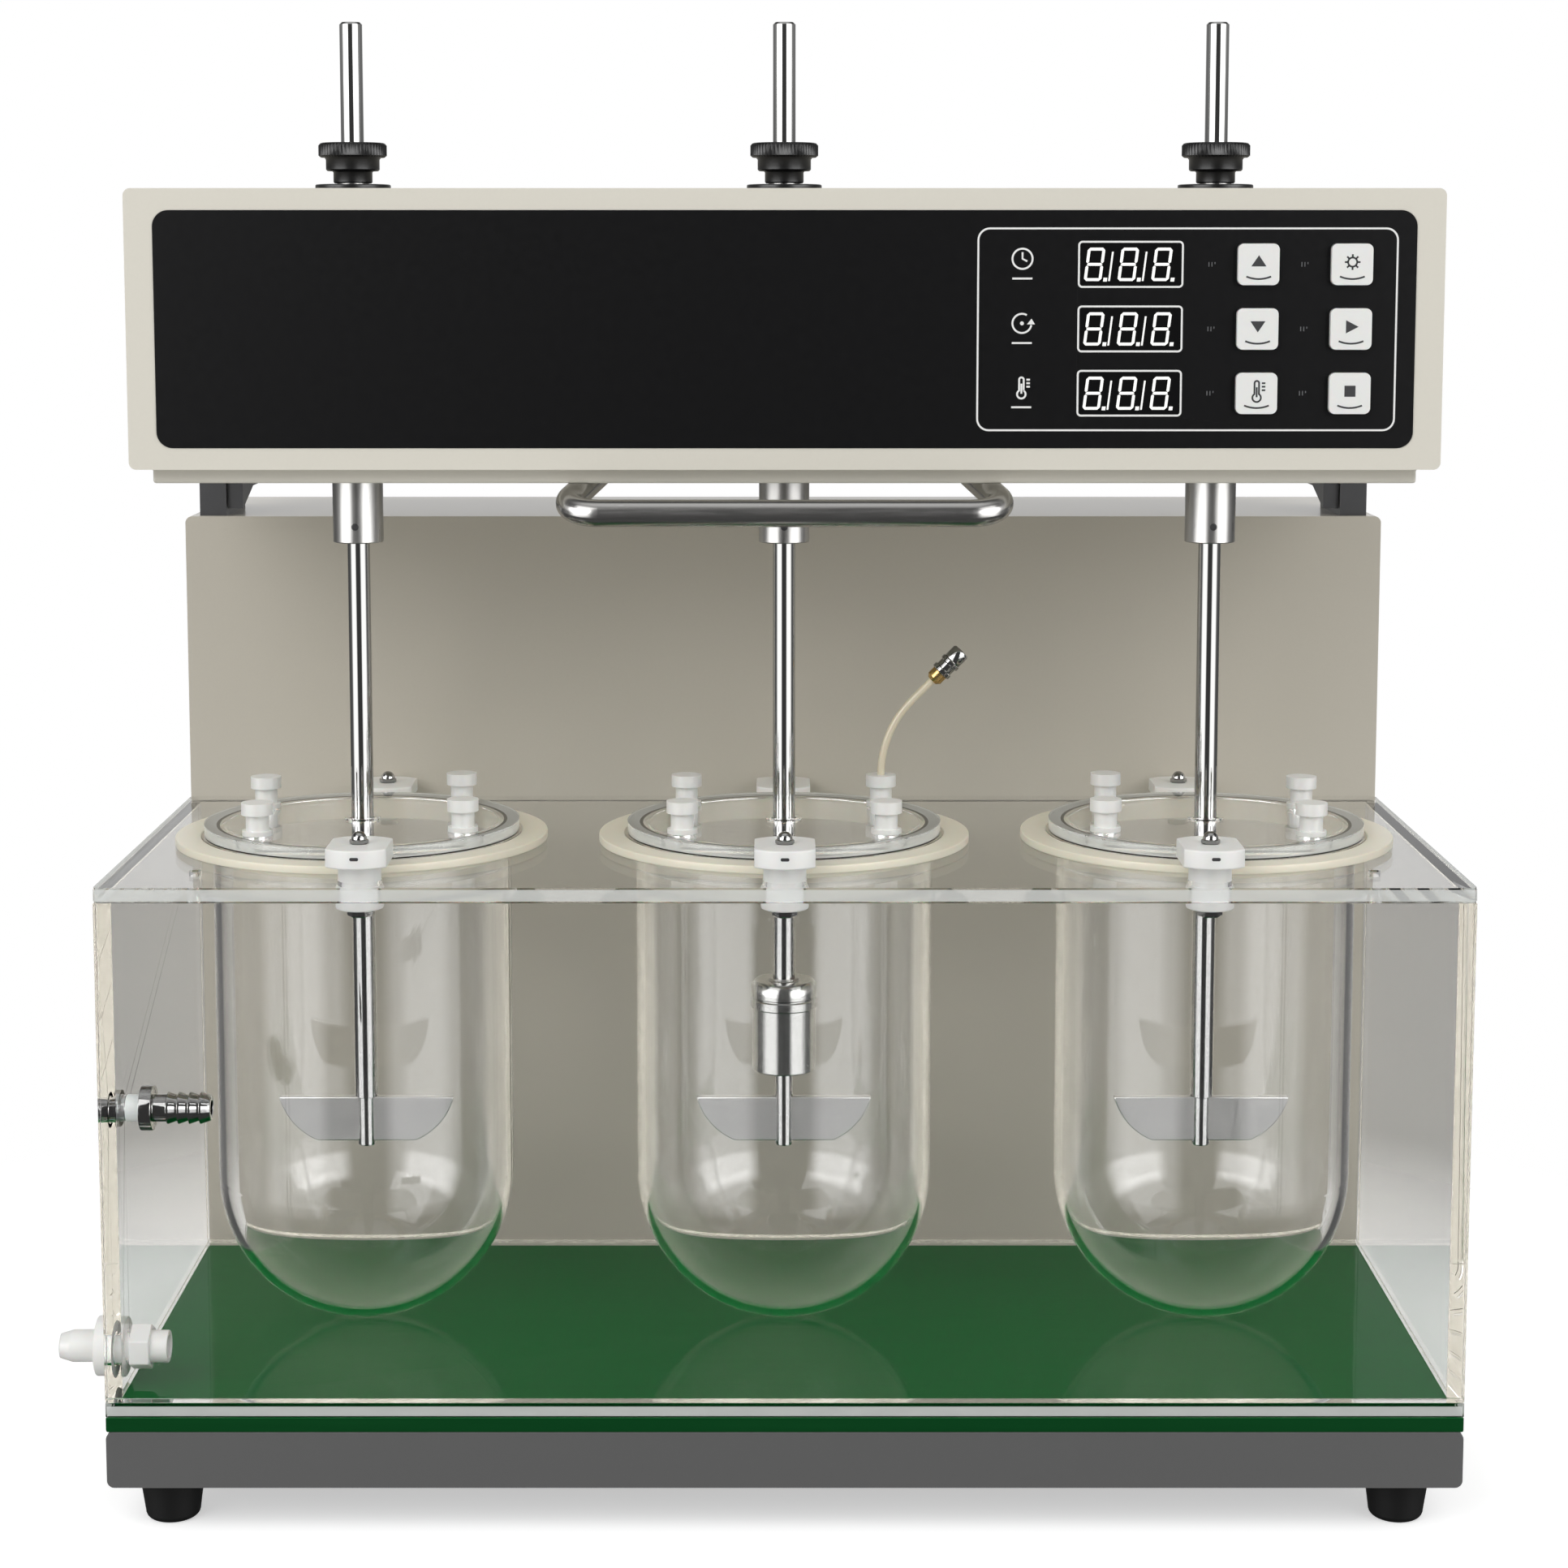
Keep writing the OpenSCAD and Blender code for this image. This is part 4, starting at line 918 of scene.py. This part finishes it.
class TESTER_OT_panel(TesterOperator, bpy.types.Operator):
    """Finishes the fascia, displays and buttons, and prints the panel"""
    bl_idname = "tester.panel"
    bl_label = "Front panel"

    def make(self, context, looks):
        dress(looks.fascia(), "fascia", edge=0.3)
        dress(looks.display(), "display_windows", edge=0.2)
        dress(looks.board(), "control_board")
        sizes = settings(context, "panel")
        low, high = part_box("fascia")
        left = high.x - sizes.outline_inset - sizes.outline_w
        outline = bmesh.new()
        points = rounded_box(left + sizes.outline_w / 2, (low.z + high.z) / 2, sizes.outline_w,
                             sizes.outline_h, sizes.outline_r)
        ribbon(outline, points, sizes.line, low.y, sizes.relief, closed=True)
        add_piece("panel_outline", outline, looks.printing(), "frame")
        sign_up, bar_down, half_bar, mark_line = 2.2 * MM, 5.6 * MM, 4, 0.35
        signs, marks = bmesh.new(), bmesh.new()
        for row, draw in zip(ROWS, (self.clock, self.turn_arrow, self.thermometer)):
            height = middle(f"button_{row}_left").z
            self.display(row, height, sizes, looks)
            draw(self.drawing(signs, left + sizes.sign_in, height + sign_up, low.y, sizes))
            bar = self.drawing(signs, left + sizes.sign_in, height - bar_down, low.y, sizes)
            bar.line([(-half_bar, 0), (half_bar, 0)])
            for place in sizes.marks:
                mark = self.drawing(marks, left + place * MM, height, low.y, sizes, mark_line)
                for x, foot in ((-1.2, -0.9), (0, -0.9), (1.2, 0.1)):
                    mark.line([(x, foot), (x, 0.9)])
        add_piece("panel_signs", signs, looks.printing(), "frame")
        add_piece("panel_marks", marks, looks.faint_printing(), "frame")
        self.buttons(sizes, looks)

    def drawing(self, bm, x, z, y, sizes, line=0.75, lean=0):
        """A place on the panel to draw on, in millimetres."""
        return Drawing(bm, x, z, y, line, sizes.relief, lean)

    def display(self, row, height, sizes, looks):
        """A display's frame and its lit digits."""
        low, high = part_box("display_windows")
        rows_apart = middle("button_top_left").z - middle("button_bottom_left").z
        w, h = high.x - low.x, high.z - low.z - rows_apart
        line = sizes.frame_line
        bm = bmesh.new()
        ribbon(bm, rounded_box((low.x + high.x) / 2, height, w - line, h - line, 1.4 * MM), line, low.y,
               sizes.relief, closed=True)
        add_piece("display_frame_" + row, bm, looks.printing(), "frame")
        apart, aside, bar_in, dot_in, lean = 13.4, 1.0, 6.6, 5, math.tan(sizes.slant)
        bm = bmesh.new()
        for place in (-1, 0, 1):
            x = (low.x + high.x) / 2 + (place * apart - aside) * MM
            self.digit(self.drawing(bm, x, height, low.y, sizes, lean=lean), sizes)
            if place < 1:
                bar = self.drawing(bm, x + bar_in * MM, height, low.y, sizes, lean=lean)
                bar.shape([(-0.35, -6.6), (0.35, -6.6), (0.35, 5), (-0.35, 5)])
            dot = self.drawing(bm, x + dot_in * MM, height, low.y, sizes, lean=lean)
            dot.shape([(-0.75, -6.8), (0.75, -6.8), (0.75, -5.3), (-0.75, -5.3)])
        add_piece("digits_" + row, bm, looks.digits(), "frame")

    def digit(self, place, sizes):
        """The seven segments of a digit."""
        w, h, t = (value / 2 / MM for value in (sizes.digit_w, sizes.digit_h, sizes.segment))
        space = 0.18
        half, more, less = w - t - space, t * 0.6, t * 0.4
        for level in (-h + t, 0, h - t):
            place.shape([(-half - more, level), (-half + less, level - t), (half - less, level - t),
                         (half + more, level), (half - less, level + t), (-half + less, level + t)])
        for across in (-w + t, w - t):
            for level in (-1, 1):
                inner, outer = level * (space + less), level * (h - t - space)
                near, far = inner + level * t, outer - level * less
                place.shape([(across, inner), (across + t, near), (across + t, far),
                             (across, outer + level * more), (across - t, far), (across - t, near)])

    def buttons(self, sizes, looks):
        """The six buttons, each with a dark sign and a curved line under it."""
        draws = {"top": (self.up, self.gear), "middle": (self.down, self.play),
                 "bottom": (self.thermometer, self.stop)}
        sign_up, curve_down, width = 0.9 * MM, 5.2 * MM, 0.7
        for row in ROWS:
            for column, draw in zip(BUTTON_COLUMNS, draws[row]):
                node = f"button_{row}_{column}"
                dress(looks.white(), node, edge=0.7)
                bm = bmesh.new()
                centre, face = middle(node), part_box(node)[0].y
                draw(self.drawing(bm, centre.x, centre.z + sign_up, face, sizes, width))
                curve = self.drawing(bm, centre.x, centre.z - curve_down, face, sizes, width)
                curve.line(arc((0, 12), 12.6, 247, 293))
                add_piece("sign_" + node, bm, looks.ink(), node)

    def clock(self, sign):
        """A ring with two hands."""
        sign.line(arc((0, 0), 4, 0, 360, 40)[:-1], closed=True)
        sign.line([(0, 2.6), (0, 0), (1.9, -1)])

    def turn_arrow(self, sign):
        """An open ring that ends in an arrow."""
        sign.line(arc((0, 0), 3.8, 60, 350, 36))
        sign.shape([(2.0, -0.4), (5.2, -0.4), (3.8, 1.9)])
        sign.shape(arc((0, 0), 0.8, 0, 324, 9))

    def thermometer(self, sign):
        """A stem on a round bulb, with a row of ticks."""
        sign.line([(0.9, -1.2), *arc((0, 3.2), 0.9, 0, 180), *arc((0, -2.6), 1.7, 122, 418, 24)], closed=True)
        sign.line([(0, -2.4), (0, 1.6)])
        for height in (0.4, 1.8, 3.2):
            sign.line([(2.0, height), (3.4, height)])

    def up(self, sign):
        """A triangle that points up."""
        sign.shape([(-3, -1.7), (3, -1.7), (0, 2.7)])

    def down(self, sign):
        """A triangle that points down."""
        sign.shape([(-3, 2.2), (0, -2.2), (3, 2.2)])

    def play(self, sign):
        """A triangle that points on."""
        sign.shape([(-2.1, -2.6), (2.9, 0), (-2.1, 2.6)])

    def stop(self, sign):
        """A square."""
        sign.shape([(-2.2, -2.2), (2.2, -2.2), (2.2, 2.2), (-2.2, 2.2)])

    def gear(self, sign):
        """A ring with short teeth."""
        sign.line(arc((0, 0), 1.8, 0, 360, 28)[:-1], closed=True)
        for step in range(8):
            angle = math.radians(45 * step)
            sign.line([(r * math.cos(angle), r * math.sin(angle)) for r in (1.9, 3.1)])


class TESTER_OT_drive(TesterOperator, bpy.types.Operator):
    """Finishes drive, pump, power inlet and handle"""
    bl_idname = "tester.drive"
    bl_label = "Drive"

    def make(self, context, looks):
        dress(looks.satin_steel(), "circulation_unit", "spindle_bearings")
        dress(looks.aluminium(), "drive_plate", "motor_pulley")
        dress(looks.moulded_black(), "drive_motor", "power_inlet", "power_switch", edge=0.3)
        dress(looks.rubber(), "drive_belt")
        dress(looks.drawn_steel(), "handle")


class TESTER_OT_stage(TesterOperator, bpy.types.Operator):
    """Sets up floor, light and camera"""
    bl_idname = "tester.stage"
    bl_label = "Stage"

    def make(self, context, looks):
        stage = settings(context, "stage")
        self.floor()
        self.world(context.scene, stage)
        self.lamp("key_lamp", (-1.5, -1.9, 1.9), 1.9, stage.key)
        self.lamp("side_lamp", (1.8, -1.6, 1.7), 1.7, stage.side)
        self.camera(context.scene, stage)
        context.scene.view_settings.view_transform = "Standard"
        through_all_panes = 24
        for bounces in ("max_bounces", "transmission_bounces", "glossy_bounces", "transparent_max_bounces"):
            setattr(context.scene.cycles, bounces, through_all_panes)

    def floor(self):
        """A round white floor with a soft shadow, which fades out at its rim and isn't seen in mirrors."""
        radius, fade_from, fade_to, glow_level = 0.6, 0.34, 0.55, 0.5
        bm = bmesh.new()
        bmesh.ops.create_circle(bm, cap_ends=True, segments=96, radius=radius)
        mesh = bpy.data.meshes.new("floor")
        bm.to_mesh(mesh)
        bm.free()
        floor = bpy.data.objects.new("floor", mesh)
        bpy.context.scene.collection.objects.link(floor)
        made = finish("floor_white", srgb(244, 244, 244), 0.9, mottle=0.01, scale=4, Specular_IOR_Level=0.0)
        tree = made.node_tree
        glow = add_node(tree, "Emission", {"Strength": reckon(tree, "MULTIPLY", self.seen(tree), glow_level)})
        lit = add_node(tree, "AddShader", {0: tree.nodes["Principled BSDF"].outputs[0], 1: glow.outputs[0]})
        place = add_node(tree, "TexCoord").outputs["Object"]
        away = add_node(tree, "VectorMath", {0: place}, operation="LENGTH").outputs["Value"]
        gone = reckon(tree, "MAXIMUM", map_range(tree, away, fade_from, fade_to), self.mirrored(tree))
        whole = self.mixed(tree, gone, lit, add_node(tree, "BsdfTransparent"))
        plug(tree, tree.nodes["Material Output"], {"Surface": whole.outputs[0]})
        mesh.materials.append(made)

    def mixed(self, tree, share, first, second):
        """Two shaders mixed by a share of the second."""
        return add_node(tree, "MixShader", {"Fac": share, 1: first.outputs[0], 2: second.outputs[0]})

    def mirrored(self, tree):
        """A value of 1 for rays that have met a mirror."""
        return reckon(tree, "MINIMUM", add_node(tree, "LightPath").outputs["Glossy Depth"], 1)

    def seen(self, tree):
        """A value of 1 for rays that show the background: seen straight, in a mirror or through glass."""
        path = add_node(tree, "LightPath").outputs
        value = path["Is Camera Ray"]
        for ray in ("Is Transmission Ray", "Is Glossy Ray"):
            value = reckon(tree, "MAXIMUM", value, path[ray])
        return value

    def world(self, scene, stage):
        """White behind the object, an even fill, and soft boxes with dark gaps for polished metal."""
        dimmed_in_mirrors, behind_panels = 0.6, 3
        world = bpy.data.worlds.new("studio")
        scene.world = world
        world.use_nodes = True
        tree = world.node_tree
        tree.nodes.clear()
        path, mirrored = add_node(tree, "LightPath").outputs, self.mirrored(tree)
        level = reckon(tree, "SUBTRACT", 1, reckon(tree, "MULTIPLY", mirrored, dimmed_in_mirrors))
        white = add_node(tree, "Background", {"Color": (1, 1, 1, 1), "Strength": level})
        fill = add_node(tree, "Background", {"Color": (1, 1, 1, 1), "Strength": stage.fill})
        boxes = add_node(tree, "Background", {"Color": self.soft_boxes(tree)})
        seen = self.mixed(tree, self.seen(tree), fill, white)
        deep = reckon(tree, "GREATER_THAN", path["Transmission Depth"], behind_panels)
        polished = reckon(tree, "MAXIMUM", path["Is Glossy Ray"], reckon(tree, "MULTIPLY", deep, mirrored))
        whole = self.mixed(tree, polished, seen, boxes)
        add_node(tree, "OutputWorld", {"Surface": whole.outputs[0]})

    def soft_boxes(self, tree):
        """Brightness round the object: from straight ahead, past a soft box on each side, to the back."""
        parts = add_node(tree, "SeparateXYZ", {0: add_node(tree, "TexCoord").outputs["Generated"]}).outputs
        turn = reckon(tree, "ARCTAN2", parts["X"], reckon(tree, "MULTIPLY", parts["Y"], -1))
        share = reckon(tree, "ABSOLUTE", reckon(tree, "DIVIDE", turn, math.pi))
        round_about = self.ramp(tree, share, (
            (0.0, 0.04), (0.11, 0.04), (0.17, 3.0), (0.38, 3.0), (0.46, 0.3), (0.62, 0.15), (0.84, 0.15),
            (0.9, 0.38)))
        tall = self.ramp(tree, reckon(tree, "ADD", parts["Z"], 0.5), (
            (0.05, 0.0), (0.2, 1.0), (0.5, 1.0), (0.56, 2.6), (0.85, 2.6), (0.95, 0.0)))
        up = self.ramp(tree, parts["Z"], ((0.75, 0.1), (0.95, 1.0)))
        return reckon(tree, "MAXIMUM", reckon(tree, "MULTIPLY", round_about, tall), up)

    def ramp(self, tree, value, stops):
        """A brightness that goes through stops of place and level."""
        made = add_node(tree, "ValToRGB", {"Fac": value})
        elements = made.color_ramp.elements
        while len(elements) < len(stops):
            elements.new(1)
        for element, (place, level) in zip(elements, stops):
            element.position = place
            element.color = (level, level, level, 1)
        return made.outputs["Color"]

    def lamp(self, name, place, size, power):
        """A square soft box that faces the middle of the object."""
        light = bpy.data.lights.new(name, "AREA")
        light.size = size
        light.energy = power
        lamp = bpy.data.objects.new(name, light)
        lamp.location = place
        aim = (CAD_BOX[0] + CAD_BOX[1]) / 2 - Vector(place)
        lamp.rotation_euler = aim.to_track_quat("-Z", "Y").to_euler()
        lamp.visible_camera = False
        bpy.context.scene.collection.objects.link(lamp)

    def camera(self, scene, stage):
        """A camera in front of the centre stirrer, which looks down a little."""
        data = bpy.data.cameras.new("camera")
        camera = bpy.data.objects.new("camera", data)
        scene.collection.objects.link(camera)
        shaft = middle("stirrer_center")
        data.lens = stage.focus_px / stage.frame_px * data.sensor_width
        data.shift_x = 0.5 - stage.axis_x / stage.frame_px
        data.shift_y = stage.axis_y / stage.frame_px - 0.5
        camera.location = (shaft.x - stage.aside, shaft.y - stage.distance, stage.height)
        camera.rotation_euler = (math.pi / 2 - stage.pitch, 0, 0)
        scene.camera = camera


OPERATORS = (
    TESTER_OT_shells, TESTER_OT_tank, TESTER_OT_vessels, TESTER_OT_clamps, TESTER_OT_stirrers,
    TESTER_OT_knobs, TESTER_OT_sampling, TESTER_OT_panel, TESTER_OT_drive, TESTER_OT_stage,
)
GROUPS = {"finishes": TesterFinishes, "panel": TesterPanel, "stage": TesterStage}


class TESTER_PT_sidebar(bpy.types.Panel):
    """Lists the tester's operators and settings"""
    bl_label = "Dissolution tester"
    bl_idname = "TESTER_PT_sidebar"
    bl_space_type = "VIEW_3D"
    bl_region_type = "UI"
    bl_category = "Tester"

    def draw(self, context):
        for operator in OPERATORS:
            self.layout.operator(operator.bl_idname)
        for name, group in GROUPS.items():
            box = self.layout.box()
            for label in group.__annotations__:
                box.prop(settings(context, name), label)


def register():
    """Registers the tester's classes and settings."""
    for each in (*GROUPS.values(), *OPERATORS, TESTER_PT_sidebar):
        bpy.utils.register_class(each)
    for name, group in GROUPS.items():
        setattr(bpy.types.Scene, "tester_" + name, bpy.props.PointerProperty(type=group))


def unregister():
    """Takes the tester's classes and settings away."""
    for name in GROUPS:
        delattr(bpy.types.Scene, "tester_" + name)
    for each in reversed((*GROUPS.values(), *OPERATORS, TESTER_PT_sidebar)):
        bpy.utils.unregister_class(each)


def main():
    """Builds the tester's looks."""
    register()
    for operator in OPERATORS:
        name = operator.bl_idname.split(".")[1]
        getattr(bpy.ops.tester, name)()


if __name__ == "__main__":
    main()
